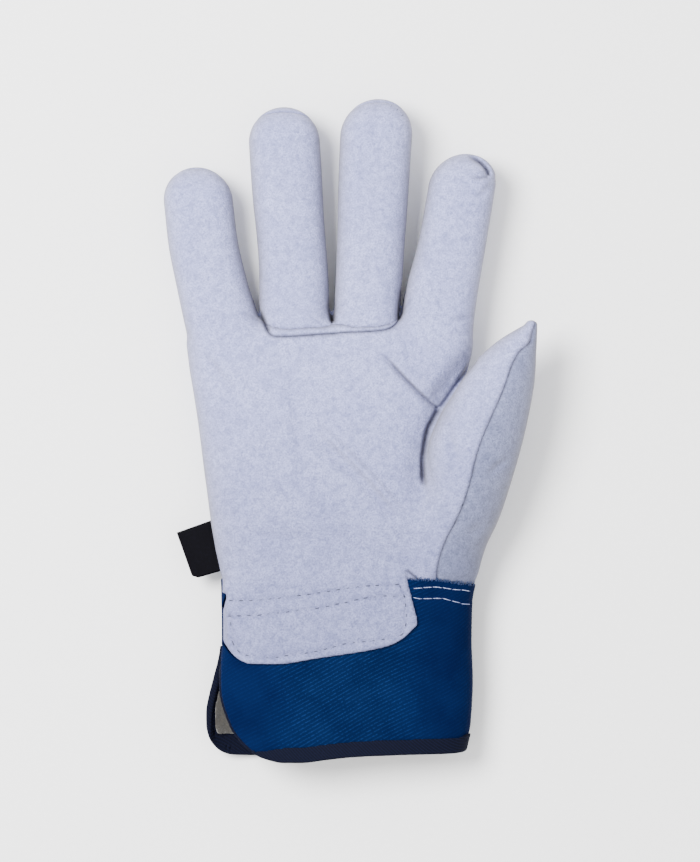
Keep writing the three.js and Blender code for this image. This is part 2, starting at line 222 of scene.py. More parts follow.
seams = {
    "gap": -0.6,            # less than zero: the pieces lap at the bottom of the seam's groove
    "fingerRoot": [(-38.9, 58), (-37.8, 52), (-36.2, 47.4), (-34.3, 43.8), (-31.9, 38.6), (-30, 37.6),
                   (-26.6, 37.4), (-20, 37.8), (-7.6, 38.7), (-2, 39.2), (4.4, 39.4), (11.2, 39.8),
                   (14.4, 40.3), (17, 41.5), (18.9, 43.6), (20, 46.4), (20.9, 52), (22, 58)],
    "weltTop": [(-42, 47), (-34.6, 42.8), (-32.8, 42), (-28.8, 40.9), (-24.4, 40.4), (-18.4, 40.9),
                (-12.4, 41.1), (-9.2, 41.7), (-6.8, 42.4), (-4.4, 42.4), (-1.2, 41.9), (2, 41.1),
                (6.4, 41.3), (11.2, 41.5), (14.4, 42.1), (17.2, 43.2), (19, 45), (24, 52)],
    "thumb": [(35, -66), (34.4, -57), (35.6, -50), (38.4, -42.4), (42.2, -35), (45.6, -26.6), (48, -18),
              (50, -9.4), (52.8, -1.4), (57.2, 8.6), (60.8, 17), (64.4, 27), (67, 31.4), (71, 35), (72.2, 39),
              (73.6, 44), (74.4, 48)],
    "tips": [               # where a fingertip's seam climbs over the front: digit, y, height, softness
        ("little", 102.6, 3.0, 3), ("ring", 124.8, 7.4, 3), ("middle", 128.2, 6.2, 3), ("first", 106, 3, 4)],
    "paintedShade": {"fingerRoot": 0.6, "weltTop": 0.25, "thumb": 0.4},     # how dark a line of painted shade each seam gets
    "shadeWidth": 0.6,
}
tab = [(-60, -48), (-62, -58), (-62, -63), (-55, -64.2), (-48.8, -64.6), (-49.9, -68.6), (-51.2, -72.4),
       (-56, -74.4), (-56, -80.6), (-51.8, -82.6), (-50.2, -84.6), (-47.2, -88.5), (-43.9, -91.2),
       (-39.6, -92.7), (-31, -92.8), (-24.4, -92.4), (-14.8, -90.7), (0, -88.5), (8.9, -87), (16.2, -85.1),
       (21.1, -82.4), (24.6, -79.2), (26.9, -76.4), (25.4, -69.4), (24, -64.2), (22.5, -56), (22, -48)]
twillTop = [(-60, -59), (20, -58.8), (34, -59.1), (41, -60), (46, -60.8), (56, -61.8)]   # the cuff's raw edge
notch = [(22.0, -54.6), (27.2, -59), (30, -64), (22.4, -64)]   # a snip beside the tab shows the layer below


def rawEdge(x):
    # y of the cuff's raw edge
    return throughPoints(*np.array(twillTop, float).T, x)


# Stitch rows seen from above
stitches = {
    "pitch": 3.9, "wander": 0.1,
    "leather": dict(length=2.0, radius=0.24, sunk=0.05),
    "twill": dict(length=3.65, radius=0.16, sunk=-0.06, play=0.2),
    "back": dict(length=3.65, radius=0.16, sunk=-0.02, play=0.2, fromBelow=True),
    "upper": [(-48.6, -67.6), (-38.8, -67.2), (-31.6, -66.6), (-24.4, -65.8), (-12.4, -64.2),
              (-0.4, -62.2), (7.6, -61.4), (16, -61), (20, -60.6)],
    "lower": [(-49.2, -73.8), (-38.8, -73.2), (-32, -72.6), (-24.8, -71.8), (-12.8, -70.2), (-1, -67.8),
              (6.4, -66.2), (15.2, -65.4), (22.8, -65.8)],
    "border": [(19.6, -60.6), (20.8, -63.4), (21.8, -67), (22.2, -71.4), (22.4, -74.6), (21.8, -78.2),
               (20.6, -80.6), (17, -82), (9.6, -83), (-2.6, -84.6), (-10, -86.6), (-16.6, -88),
               (-24.4, -89), (-32, -90), (-38.8, -89.6), (-43.8, -88), (-46.8, -83.6), (-47.2, -80.6),
               (-47.4, -76.2), (-48.2, -72.2)],
    "upperTwill": [(24.8, -62.6), (34, -62), (38.4, -62.6), (45.4, -63.4), (48.6, -64)],
    "lowerTwill": [(24.8, -66), (28, -66.6), (35.1, -66.5), (40.8, -67.6), (45.4, -68.8), (48, -69.1)],
    "upperBack": [(-44, -64), (0, -62.4), (44, -64)],
    "lowerBack": [(-44, -69), (0, -67), (44, -69)],
}

# Folds pressed into the palm side. Depth is at the middle of the line, and a negative one is a ridge.
# Lift raises the leather on the line's left side, seen along it, and dies away over the reach.
# Painted shade is how dark the line is drawn, standing in for the shade in the fold, over the shade's width. Ends are
# the shares of it that fade in and out.

def fold(path, depth, width, ends, paintedShade=0.0, shadeWidth=1.0, lift=0.0, reach=4.0):
    return dict(path=path, depth=depth, width=width, ends=ends, paintedShade=paintedShade, shadeWidth=shadeWidth,
                lift=lift, reach=reach)


folds = {
    "palm crease": fold(depth=1.9, width=0.9, ends=(0.36, 0.02), paintedShade=0.75, shadeWidth=0.7,
        lift=1.9, reach=8, path=[
        (10, 33.4), (12.4, 31), (16, 27), (22.4, 20.2), (27.2, 15.4), (30.8, 12.2), (35.2, 8.8)]),
    "thumb slit": fold(depth=3.1, width=0.9, ends=(0.1, 0.17), paintedShade=0.86, shadeWidth=1.1, path=[
        (36.4, 10.6), (35.2, 8.8), (33.2, 5.4), (30.8, 0.6), (29.6, -5.4), (28.8, -11.8),
        (28.9, -17.8), (30, -23.6)]),
    "thumb lap": fold(depth=1.3, width=0.9, ends=(0.2, 0.05), paintedShade=0.6, shadeWidth=0.8, path=[
        (51.2, 29.4), (46.6, 24.4), (42, 18.2), (37, 11), (35.2, 8.8)]),
    "lap shadow": fold(depth=0.9, width=3.0, ends=(0.3, 0.2), paintedShade=0.26, shadeWidth=3.6, path=[
        (48, 32), (43, 26), (38.5, 19.5), (34, 13.5), (32, 9)]),
    "slit hollow": fold(depth=1.7, width=4.5, ends=(0.2, 0.3), paintedShade=0.12, shadeWidth=4.0, path=[
        (44, 25), (38, 15), (33.5, 5), (29.5, -4), (27.5, -14), (28, -26), (30, -36)]),
    "palm ridge": fold(depth=-1.4, width=1.6, ends=(0.4, 0.3), path=[
        (-24, 10), (-12, 1), (0, -10), (10, -20.2), (17.2, -28.6), (22.8, -35), (27.2, -38)]),
    "palm valley": fold(depth=1.2, width=2.2, ends=(0.4, 0.3), paintedShade=0.06, shadeWidth=1.6, path=[
        (-22, 4), (-12, -4), (-2, -14), (8, -24), (16, -33), (22, -39)]),
    "palm fold": fold(depth=0.9, width=2.0, ends=(0.4, 0.4), paintedShade=0.05, shadeWidth=1.6,
        lift=0.5, reach=7, path=[
        (-22.8, 33), (-22.9, 17), (-20.8, 2), (-19.6, -15), (-20, -30)]),
    "outer fold": fold(depth=0.9, width=1.6, ends=(0.3, 0.5), paintedShade=0.08, shadeWidth=1.6,
        lift=0.6, reach=6, path=[
        (-60.4, 30.8), (-55, 27), (-51.4, 21.6), (-47.4, 18.4), (-42, 12)]),
    "first root": fold(depth=0.8, width=1.0, ends=(0.5, 0.4), paintedShade=0.1, lift=0.3, path=[
        (38, 42), (42, 44.4), (46, 44.8), (49.6, 45)]),
    "first root low": fold(depth=0.6, width=1.4, ends=(0.5, 0.4), paintedShade=0.05, path=[
        (36, 36), (41, 38.4), (46, 38.6), (49.6, 38)]),
    "thumb cushion": fold(depth=1.0, width=2.2, ends=(0.5, 0.5), paintedShade=0.06, shadeWidth=2, path=[
        (38, 6), (39.4, -2), (41, -8), (42.4, -16)]),
    "outer thumb": fold(depth=0.7, width=1.4, ends=(0.5, 0.4), paintedShade=0.05, shadeWidth=1.5, lift=0.3, path=[
        (53, -19), (57, -15), (60, -12.6), (64, -11)]),
    "outer thumb low": fold(depth=0.6, width=2.2, ends=(0.5, 0.4), path=[
        (45, -42), (50, -39), (54, -37.4)]),
    "first tip pleat": fold(depth=1.5, width=0.9, ends=(0.3, 0.03), paintedShade=0.9, shadeWidth=0.75,
        lift=1.6, reach=3.5, path=[
        (46.9, 110.4), (51.7, 107.2), (54, 104.9), (55.1, 103), (55.2, 101.4)]),
    "first tip hook": fold(depth=0.9, width=0.9, ends=(0.03, 0.5), paintedShade=0.5, shadeWidth=0.7,
        lift=0.6, reach=3, path=[
        (55.2, 101.4), (53, 101), (50.4, 100.7), (47.4, 101.6)]),
    "first tip fold": fold(depth=0.7, width=1.4, ends=(0.4, 0.3), paintedShade=0.05, lift=0.3, path=[
        (48, 92), (52, 94), (55, 97), (58, 99.6)]),
    "wrist fold": fold(depth=0.6, width=3, ends=(0.4, 0.4), path=[
        (-46, -38), (-34, -42), (-20, -43), (-6, -41)]),
    "middle crotch": fold(depth=2.6, width=0.9, ends=(0.3, 0.1), paintedShade=0.95, shadeWidth=1.2, path=[
        (-7.4, 54), (-7.3, 49), (-7.2, 46), (-6.9, 42.8)]),
    "little crotch": fold(depth=1.4, width=0.9, ends=(0.1, 0.2), paintedShade=0.8, shadeWidth=0.75, path=[
        (-36.4, 47.8), (-35.4, 45.8), (-34.3, 43.8), (-31.9, 38.6)]),
    "first crotch": fold(depth=1.2, width=1.3, ends=(0.6, 0.3), paintedShade=0.8, shadeWidth=1.1, path=[
        (20.6, 60), (20.4, 52), (20.0, 47.4), (18.4, 43.2)]),
    "snip edge": fold(depth=0.4, width=0.8, ends=(0.05, 0.05), paintedShade=0.75, shadeWidth=0.55, path=[
        (22.4, -55), (24.8, -57), (27.2, -59)]),
}
for row in ("upper", "lower", "border"):      # each stitch row pulls the leather in a little
    folds[row + " stitches"] = fold(stitches[row], depth=0.35, width=0.8, ends=(0.01, 0.01),
                                     paintedShade=0.12, shadeWidth=0.8)


def seamHeight(x, y):
    # the seam round the outline is level, and climbs over a fingertip to the palm side
    height = np.full(np.broadcast(x, y).shape, hand["sideSeam"])
    for name, start, climb, softness in seams["tips"]:
        rows = digits[name]["rows"]
        _, left, right, _, _ = rows[-1]
        near = smoothStep(left - 3, left - 1, x) * smoothStep(right + 4, right + 1, x)
        height = height + climb * near * smoothStep(start - softness, start + softness, y)
    underThumb = smoothStep(36, 43, x) * smoothStep(-52, -40, y) * smoothStep(12, 0, y)
    return height - 5 * underThumb


def fadeOf(ends, along):
    return smoothStep(0, ends[0], along) * smoothStep(1, 1 - ends[1], along)


def reliefOf(block):
    # how far the folds raise or press the palm side, and the same for the leather's inner face,
    # which follows a sharp fold only widely so that the leather keeps its thickness
    outer = np.zeros((block.shape[0], block.shape[1]))
    inner = np.zeros((block.shape[0], block.shape[1]))
    for line in folds.values():
        gap, side, along = pathDistance(*block.plan, smoothPath(line["path"]))
        fade = fadeOf(line["ends"], along)
        wide = max(line["width"], 0.7 * line["depth"] + 1.2)
        outer -= line["depth"] * fade * np.exp(-((gap / line["width"]) ** 2))
        innerFade = smoothStep(0, 0.02, fade) if line["depth"] > 0 else 0.8 * fade
        inner -= line["depth"] * innerFade * np.exp(-((gap / wide) ** 2))
        if line["lift"]:
            rise = line["lift"] * fade * np.tanh(side * gap / line["width"])
            rise = rise * np.exp(-gap / line["reach"]) / 2
            outer += rise
            inner += rise
    return outer, inner


def unevenness(block, amount, sizes, seed):
    # a few crossing waves with no repeat, in place of noise
    pick = np.random.default_rng(seed)
    total = np.zeros(block.shape, np.float32)
    for size in sizes:
        turns = pick.uniform(-1, 1, 3)
        turns *= 2 * math.pi / size / np.linalg.norm(turns)
        shift = pick.uniform(0, 6.28, 3)
        a, b, c = (np.sin(axis * k + s).astype(np.float32)
                   for axis, k, s in zip((block.x, block.y, block.z), turns, shift))
        total += a * b + c * a
    return amount * total / len(sizes)


def gloveDistance(block):
    # the whole glove's skin: digits melted into the palm, and the cuff taking over at the wrist
    palm = tubeDistance(block, palmTube)
    skin = palm
    for name, tube in digits.items():
        blend = hand["blend"]
        if name == "thumb":
            sharp, soft = hand["thumbBlend"]
            blend = soft + (sharp - soft) * smoothStep(-30, -8, block.y)
        skin = np.minimum(skin, smoothMin(palm, tubeDistance(block, tube), blend))
    cuff = tubeDistance(block, cuffTube)
    share = smoothStep(-56, -63, block.y)
    skin = skin * (1 - share) + cuff * share
    skin = skin + unevenness(block, hand["wobble"], (47, 31, 23, 37), 3) * smoothStep(0, 8, block.z)
    return skin


# Turning a field into a mesh

def skinMesh(name, field, block, material, node=None):
    # one point in each cell that the skin passes through, at the middle of its crossings
    field = field.copy()
    for k in range(3):
        field[tuple(slice(None) if j != k else slice(0, 1) for j in range(3))] = 1
        field[tuple(slice(None) if j != k else slice(-1, None) for j in range(3))] = 1
    inside = field < 0
    count = sum(inside[a:a - 1 or None, b:b - 1 or None, c:c - 1 or None].astype(np.int8)
                for a in (0, 1) for b in (0, 1) for c in (0, 1))
    mixed = (count > 0) & (count < 8)
    cells = np.argwhere(mixed)
    total, hits = np.zeros((len(cells), 3)), np.zeros(len(cells))
    for k in range(3):
        for u in (0, 1):
            for v in (0, 1):
                start = np.zeros(3, int)
                start[(k + 1) % 3], start[(k + 2) % 3] = u, v
                end = start.copy()
                end[k] = 1
                first = field[tuple((cells + start).T)]
                second = field[tuple((cells + end).T)]
                crosses = (first < 0) != (second < 0)
                t = np.where(crosses, first / np.where(crosses, first - second, 1), 0)
                crossing = np.repeat(start[None].astype(float), len(cells), 0)
                crossing[:, k] = t
                total += np.where(crosses[:, None], crossing, 0)
                hits += crosses
    points = block.low + (cells + total / hits[:, None]) * block.step
    index = np.full(mixed.shape, -1)
    index[mixed] = np.arange(len(cells))
    quads = []
    for k in range(3):
        a, b = (k + 1) % 3, (k + 2) % 3
        lower = np.take(inside, range(inside.shape[k] - 1), k)
        upper = np.take(inside, range(1, inside.shape[k]), k)
        edges = np.argwhere(lower != upper)
        edges = edges[(edges[:, a] > 0) & (edges[:, b] > 0)
                      & (edges[:, a] < mixed.shape[a]) & (edges[:, b] < mixed.shape[b])]
        around = []
        for u, v in ((0, 0), (-1, 0), (-1, -1), (0, -1)):
            cell = edges.copy()
            cell[:, a] += u
            cell[:, b] += v
            around.append(index[tuple(cell.T)])
        around = np.stack(around, 1)
        outward = inside[tuple(edges.T)]
        quads.append(np.where(outward[:, None], around, around[:, ::-1]))
    points, quads = largestPart(points, np.vstack(quads))
    return meshPiece(name, relaxed(points, quads), quads, material, node)


def relaxed(points, faces, rounds=2):
    # takes out the grid's small steps: a pull to the neighbours' middle, then a push back out
    count = np.bincount(faces.ravel(), minlength=len(points))[:, None] * 2
    for pull in (0.5, -0.53) * rounds:
        near = np.zeros_like(points)
        for k in range(faces.shape[1]):
            for step in (1, -1):
                beside = points[np.roll(faces, step, 1)[:, k]]
                for axis in range(3):
                    near[:, axis] += np.bincount(faces[:, k], beside[:, axis], len(points))
        points = points + pull * (near / count - points)
    return points


def largestPart(points, faces):
    # leaves out crumbs that a cut can shed
    label = np.arange(len(points))
    while True:
        lowest = label[faces].min(1)
        spread = label.copy()
        np.minimum.at(spread, faces.ravel(), np.repeat(lowest, faces.shape[1]))
        spread = spread[spread]
        if (spread == label).all():
            break
        label = spread
    names, sizes = np.unique(label, return_counts=True)
    kept = label == names[sizes.argmax()]
    number = np.cumsum(kept) - 1
    return points[kept], number[faces[kept[faces[:, 0]]]]


def pointsOf(piece, what="co"):
    values = np.zeros(len(piece.data.vertices) * 3, np.float32)
    piece.data.vertices.foreach_get(what, values)
    return values.reshape(-1, 3)


def storeOnPoints(piece, name, values):
    # a number or a vector on each point, which a material reads by its name
    kind, key = ("FLOAT", "value") if values.ndim == 1 else ("FLOAT_VECTOR", "vector")
    layer = piece.data.attributes.new(name, kind, "POINT")
    layer.data.foreach_set(key, values.astype(np.float32).ravel())


paintedShading = {
    "height": (11, 15),     # folds and seams get painted shade above this, on the palm side
    "sideSeam": 0.4, "sideSeamWidth": 0.5,
    "paintedEdgeShade": 0.8, "wristEdgeShade": 0.3,      # painted shade where the leather turns edgeways, less towards the wrist, where the cuff covers the edge
}


def storePaintedShade(piece):
    # painted shade: the leather is drawn darker along folds, seams and crotches, and greyer where it turns edgeways,
    # away from the light
    x, y, z = pointsOf(piece).T / mm
    facing = pointsOf(piece, "normal")[:, 2]
    runs = [(line["path"], line["paintedShade"], line["shadeWidth"], line["ends"]) for line in folds.values()]
    runs += [(seams[name], amount, seams["shadeWidth"], None) for name, amount in seams["paintedShade"].items()]
    paintedShade = np.zeros(len(x))
    for path, amount, width, ends in runs:
        low, high = np.min(path, 0) - 3 * width, np.max(path, 0) + 3 * width
        near = (z > paintedShading["height"][0]) & (x > low[0]) & (x < high[0]) & (y > low[1]) & (y < high[1])
        gap, _, along = pathDistance(x[near], y[near], smoothPath(path))
        fade = fadeOf(ends, along) if ends else 1.0
        paintedShade[near] = np.maximum(paintedShade[near], amount * fade * np.exp(-((gap / width) ** 2)))
    paintedShade *= smoothStep(*paintedShading["height"], z)
    seamGap = (z - seamHeight(x, y)) / paintedShading["sideSeamWidth"]
    paintedShade = np.maximum(paintedShade, paintedShading["sideSeam"] * np.exp(-(seamGap**2)) * smoothStep(-62, -56, y))
    share = paintedShading["wristEdgeShade"] + (1 - paintedShading["wristEdgeShade"]) * smoothStep(-70, -35, y)
    storeOnPoints(piece, "paintedShade", paintedShade)
    storeOnPoints(piece, "paintedEdgeShade", paintedShading["paintedEdgeShade"] * (1 - abs(facing)) ** 1.2 * share)


mostTriangles = {"hand_back": 130000, "pile_lining": 90000, "other": 185000}


def place(name, data):
    placed = bpy.data.objects.new(name, data)
    bpy.context.scene.collection.objects.link(placed)
    return placed


def meshPiece(name, points, faces, material, node=None):
    # a piece of the glove, riding on its one body; points are in millimetres
    mesh = bpy.data.meshes.new(name)
    mesh.vertices.add(len(points))
    mesh.vertices.foreach_set("co", (np.asarray(points) * mm).astype(np.float32).ravel())
    mesh.loops.add(faces.size)
    mesh.loops.foreach_set("vertex_index", faces.astype(np.int32).ravel())
    mesh.polygons.add(len(faces))
    mesh.polygons.foreach_set("loop_start", np.arange(0, faces.size, faces.shape[1], dtype=np.int32))
    mesh.update(calc_edges=True)
    mesh.validate()
    mesh.shade_smooth()
    mesh.materials.append(material)
    piece = place(name, mesh)
    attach(piece, "root")
    if node:
        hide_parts(node)
    most = mostTriangles.get(name, mostTriangles["other"])
    if len(faces) * 2 > most:
        lighter = piece.modifiers.new("lighter", "DECIMATE")
        lighter.ratio = most / (len(faces) * 2)
    say(f"{name}: {min(len(faces) * 2, most)} triangles")
    return piece


# Materials

def linear(code):
    # sRGB hex to the linear colour that shaders take
    parts = [int(code[k:k + 2], 16) / 255 for k in (1, 3, 5)]
    return [c / 12.92 if c <= 0.04045 else ((c + 0.055) / 1.055) ** 2.4 for c in parts] + [1.0]


def addNode(tree, kind, settings=None, inputs=None):
    # an input is a value, or another node's output to link
    node = tree.nodes.new("ShaderNode" + kind)
    for key, value in (settings or {}).items():
        setattr(node, key, value)
    for key, value in (inputs or {}).items():
        if isinstance(value, bpy.types.NodeSocket):
            tree.links.new(value, node.inputs[key])
        else:
            node.inputs[key].default_value = value
    return node


def startMaterial(name):
    material = bpy.data.materials.new(name)
    material.use_nodes = True
    tree = material.node_tree
    return material, tree, tree.nodes["Principled BSDF"]


mixColour = {"data_type": "RGBA", "blend_type": "MIX"}   # sockets: 0 share, 6 and 7 colours, output 2
multiplied = {"data_type": "RGBA", "blend_type": "MULTIPLY"}
soften = {"interpolation_type": "SMOOTHSTEP"}
wavesInMetre = 0.314    # a wave texture's scale for ribs one metre apart

suede = {
    "light": "#aaafe0", "mid": "#a0a5d7", "dark": "#5d628b",
    "outerThumb": ("#888eb2", "#7e84a9", "#4e536e"),    # a darker copy of the hide: painted shade on the thumb's outer half, which slopes away from the light
    # painted shade for folds, seams and crotches
    "paintedShade": "#2d2b2e",
    "paintedEdgeShade": "#8e8b88",    # painted shade: a warmer grey where the leather turns edgeways, away from the light
    "nap": 0.7,         # mm, clumps of raised fibre; the fibres themselves are finer than the picture shows
    "mottle": 2.6,      # mm, where the nap lies one way or the other
    "patch": 17.0,      # mm, uneven dye
    "wristShade": 0.63,  # painted shade: the leather is drawn darker towards the cuff, where less light falls, than at the fingertips
    "roughness": 0.95,
}


def splitCowhideSuede(name, light, mid, dark):
    # split cowhide, sanded on its faces: fully matt, a short clumped nap, dye that took unevenly
    material, tree, shader = startMaterial(name)
    where = addNode(tree, "TexCoord").outputs["Object"]
    nap = addNode(tree, "TexNoise", None, {
        "Vector": where, "Scale": 1 / (suede["nap"] * mm), "Detail": 4.0, "Roughness": 0.7})
    mottle = addNode(tree, "TexNoise", None, {
        "Vector": where, "Scale": 1 / (suede["mottle"] * mm), "Detail": 4.0, "Roughness": 0.6,
        "Distortion": 0.5})
    patch = addNode(tree, "TexNoise", None, {
        "Vector": where, "Scale": 1 / (suede["patch"] * mm), "Detail": 2.0, "Roughness": 0.5})
    worn = addNode(tree, "MapRange", None, {
        "Value": patch.outputs["Fac"], "From Min": 0.35, "From Max": 0.65})
    first = addNode(tree, "Mix", mixColour, {0: worn.outputs[0], 6: linear(mid), 7: linear(light)})
    lying = addNode(tree, "MapRange", None, {
        "Value": mottle.outputs["Fac"], "From Min": 0.42, "From Max": 0.68, "To Max": 0.46})
    second = addNode(tree, "Mix", mixColour, {0: lying.outputs[0], 6: first.outputs[2], 7: linear(dark)})
    clumps = addNode(tree, "MapRange", None, {
        "Value": nap.outputs["Fac"], "From Min": 0.38, "From Max": 0.7, "To Max": 0.72})
    third = addNode(tree, "Mix", mixColour, {0: clumps.outputs[0], 6: second.outputs[2], 7: linear(dark)})
    along = addNode(tree, "SeparateXYZ", None, {0: where})
    # painted shade, darker towards the wrist
    tone = addNode(tree, "MapRange", soften, {
        "Value": along.outputs["Y"], "From Min": -95 * mm, "From Max": 45 * mm,
        "To Min": suede["wristShade"]})
    withShade = addNode(tree, "Mix", multiplied, {0: 1.0, 6: third.outputs[2], 7: tone.outputs[0]})
    # painted shade read from the points: darker in folds, seams and crotches, greyer where the leather turns edgeways
    paintedShade = addNode(tree, "Attribute", {"attribute_name": "paintedShade"}).outputs["Fac"]
    paintedEdgeShade = addNode(tree, "Attribute", {"attribute_name": "paintedEdgeShade"}).outputs["Fac"]
    grey = addNode(tree, "Mix", mixColour, {0: paintedEdgeShade, 6: withShade.outputs[2], 7: linear(suede["paintedEdgeShade"])})
    shadedColour = addNode(tree, "Mix", mixColour, {0: paintedShade, 6: grey.outputs[2], 7: linear(suede["paintedShade"])})
    tree.links.new(shadedColour.outputs[2], shader.inputs["Base Color"])
    coarse = addNode(tree, "Bump", None, {
        "Height": mottle.outputs["Fac"], "Strength": 0.7, "Distance": 0.0006})
    fine = addNode(tree, "Bump", None, {
        "Height": nap.outputs["Fac"], "Strength": 0.9, "Distance": 0.0005, "Normal": coarse.outputs[0]})
    tree.links.new(fine.outputs[0], shader.inputs["Normal"])
    shader.inputs["Roughness"].default_value = suede["roughness"]
    shader.inputs["Specular IOR Level"].default_value = 0.12
    return material


twill = {
    "ground": "#020f2c", "rib": "#153160", "faded": "#041432",
    "pitch": 1.42,      # mm between ribs; the real 0.8 mm is too fine to show, so it is drawn coarser
    "angle": 29.0,      # degrees that the ribs rise towards the thumb
    "sides": "#dde3fa",     # painted shade: the cloth is drawn darker and bluer towards its sides, where the cuff turns away from the light
    "middle": -1.0,         # mm, where that middle is
    "yarn": 0.55, "drift": 14.0,    # mm, single yarns and uneven dye
    "roughness": 0.85,
}


def dyedCottonTwill():
    # piece-dyed cotton twill over rubber: slanting ribs that catch light along their crowns
    material, tree, shader = startMaterial("dyed_cotton_twill")
    wrap = addNode(tree, "Attribute", {"attribute_name": "wrap"}).outputs["Vector"]
    where = addNode(tree, "TexCoord").outputs["Object"]
    drift = addNode(tree, "TexNoise", None, {
        "Vector": where, "Scale": 1 / (twill["drift"] * mm), "Detail": 2.0})
    turned = addNode(tree, "Mapping", {"vector_type": "TEXTURE"}, {
        "Vector": wrap, "Rotation": (0, 0, math.radians(twill["angle"]))})
    ribs = addNode(tree, "TexWave", {"bands_direction": "Y", "wave_profile": "SIN"}, {
        "Vector": turned.outputs[0], "Scale": wavesInMetre / (twill["pitch"] * mm), "Distortion": 0.7,
        "Detail": 2.0, "Detail Scale": 3.0})
    threads = addNode(tree, "TexNoise", None, {
        "Vector": where, "Scale": 1 / (twill["yarn"] * mm), "Detail": 3.0, "Roughness": 0.7})
    blotch = addNode(tree, "MapRange", None, {
        "Value": drift.outputs["Fac"], "From Min": 0.35, "From Max": 0.65})
    ground = addNode(tree, "Mix", mixColour, {
        0: blotch.outputs[0], 6: linear(twill["ground"]), 7: linear(twill["faded"])})
    crown = addNode(tree, "MapRange", None, {
        "Value": ribs.outputs["Fac"], "From Min": 0.6, "From Max": 1.0, "To Max": 0.5})
    broken = addNode(tree, "MapRange", None, {
        "Value": threads.outputs["Fac"], "From Min": 0.4, "From Max": 0.64, "To Max": 1.2})
    lit = addNode(tree, "Math", {"operation": "MULTIPLY"}, {0: crown.outputs[0], 1: broken.outputs[0]})
    patchy = addNode(tree, "MapRange", None, {
        "Value": drift.outputs["Fac"], "From Min": 0.3, "From Max": 0.6, "To Min": 0.7})
    across = addNode(tree, "SeparateXYZ", None, {0: where}).outputs["X"]
    offset = addNode(tree, "Math", {"operation": "SUBTRACT"}, {0: across, 1: twill["middle"] * mm})
    fromMiddle = addNode(tree, "Math", {"operation": "ABSOLUTE"}, {0: offset.outputs[0]})
    # the painted highlights on the rib crowns fade towards the sides
    highlightFade = addNode(tree, "MapRange", soften, {
        "Value": fromMiddle.outputs[0], "From Min": 18 * mm, "From Max": 38 * mm,
        "To Min": 1.0, "To Max": 0.3})
    showing = addNode(tree, "Math", {"operation": "MULTIPLY"}, {0: patchy.outputs[0], 1: highlightFade.outputs[0]})
    share = addNode(tree, "Math", {"operation": "MULTIPLY"}, {0: lit.outputs[0], 1: showing.outputs[0]})
    colour = addNode(tree, "Mix", mixColour, {
        0: share.outputs[0], 6: ground.outputs[2], 7: linear(twill["rib"])})
    # painted shade towards the cuff's sides
    toSide = addNode(tree, "MapRange", soften, {
        "Value": fromMiddle.outputs[0], "From Min": 10 * mm, "From Max": 42 * mm})
    sideShade = addNode(tree, "Mix", mixColour, {
        0: toSide.outputs[0], 6: linear("#ffffff"), 7: linear(twill["sides"])})
    withShade = addNode(tree, "Mix", multiplied, {0: 1.0, 6: colour.outputs[2], 7: sideShade.outputs[2]})
    tree.links.new(withShade.outputs[2], shader.inputs["Base Color"])
    relief = addNode(tree, "Bump", None, {
        "Height": ribs.outputs["Fac"], "Strength": 0.12, "Distance": 0.0003})
    yarn = addNode(tree, "Bump", None, {
        "Height": threads.outputs["Fac"], "Strength": 0.5, "Distance": 0.0003, "Normal": relief.outputs[0]})
    tree.links.new(yarn.outputs[0], shader.inputs["Normal"])
    shader.inputs["Roughness"].default_value = twill["roughness"]
    shader.inputs["Specular IOR Level"].default_value = 0.03
    return material


tape = {
    "face": "#0a0d1e", "groove": "#06070f", "lint": "#13162b",
    "rib": 0.7, "dust": 0.6,    # mm
    "roughness": 0.8,
}


def wovenBindingTape():
    # tightly woven polyester tape: fine cross ribs and a faint shine
    material, tree, shader = startMaterial("woven_binding_tape")
    where = addNode(tree, "TexCoord").outputs["Object"]
    ribs = addNode(tree, "TexWave", {"bands_direction": "DIAGONAL", "wave_profile": "SIN"}, {
        "Vector": where, "Scale": wavesInMetre / (tape["rib"] * mm), "Distortion": 0.6, "Detail": 1.0})
    lint = addNode(tree, "TexNoise", None, {
        "Vector": where, "Scale": 1 / (tape["dust"] * mm), "Detail": 3.0})
    share = addNode(tree, "MapRange", None, {
        "Value": ribs.outputs["Fac"], "From Min": 0.1, "From Max": 0.9, "To Min": 0.2})
    base = addNode(tree, "Mix", mixColour, {
        0: share.outputs[0], 6: linear(tape["groove"]), 7: linear(tape["face"])})
    dust = addNode(tree, "MapRange", None, {
        "Value": lint.outputs["Fac"], "From Min": 0.55, "From Max": 0.85, "To Max": 0.4})
    second = addNode(tree, "Mix", mixColour, {
        0: dust.outputs[0], 6: base.outputs[2], 7: linear(tape["lint"])})
    tree.links.new(second.outputs[2], shader.inputs["Base Color"])
    relief = addNode(tree, "Bump", None, {
        "Height": ribs.outputs["Fac"], "Strength": 0.35, "Distance": 0.0003})
    tree.links.new(relief.outputs[0], shader.inputs["Normal"])
    shader.inputs["Roughness"].default_value = tape["roughness"]
    shader.inputs["Specular IOR Level"].default_value = 0.05
    return material


fleece = {
    "tuft": "#bfb9a9", "root": "#857d6f", "tips": "#d2ccbe", "inShade": "#262422",
    "curl": 1.8, "fibre": 0.4,      # mm
    "roughness": 1.0,
}


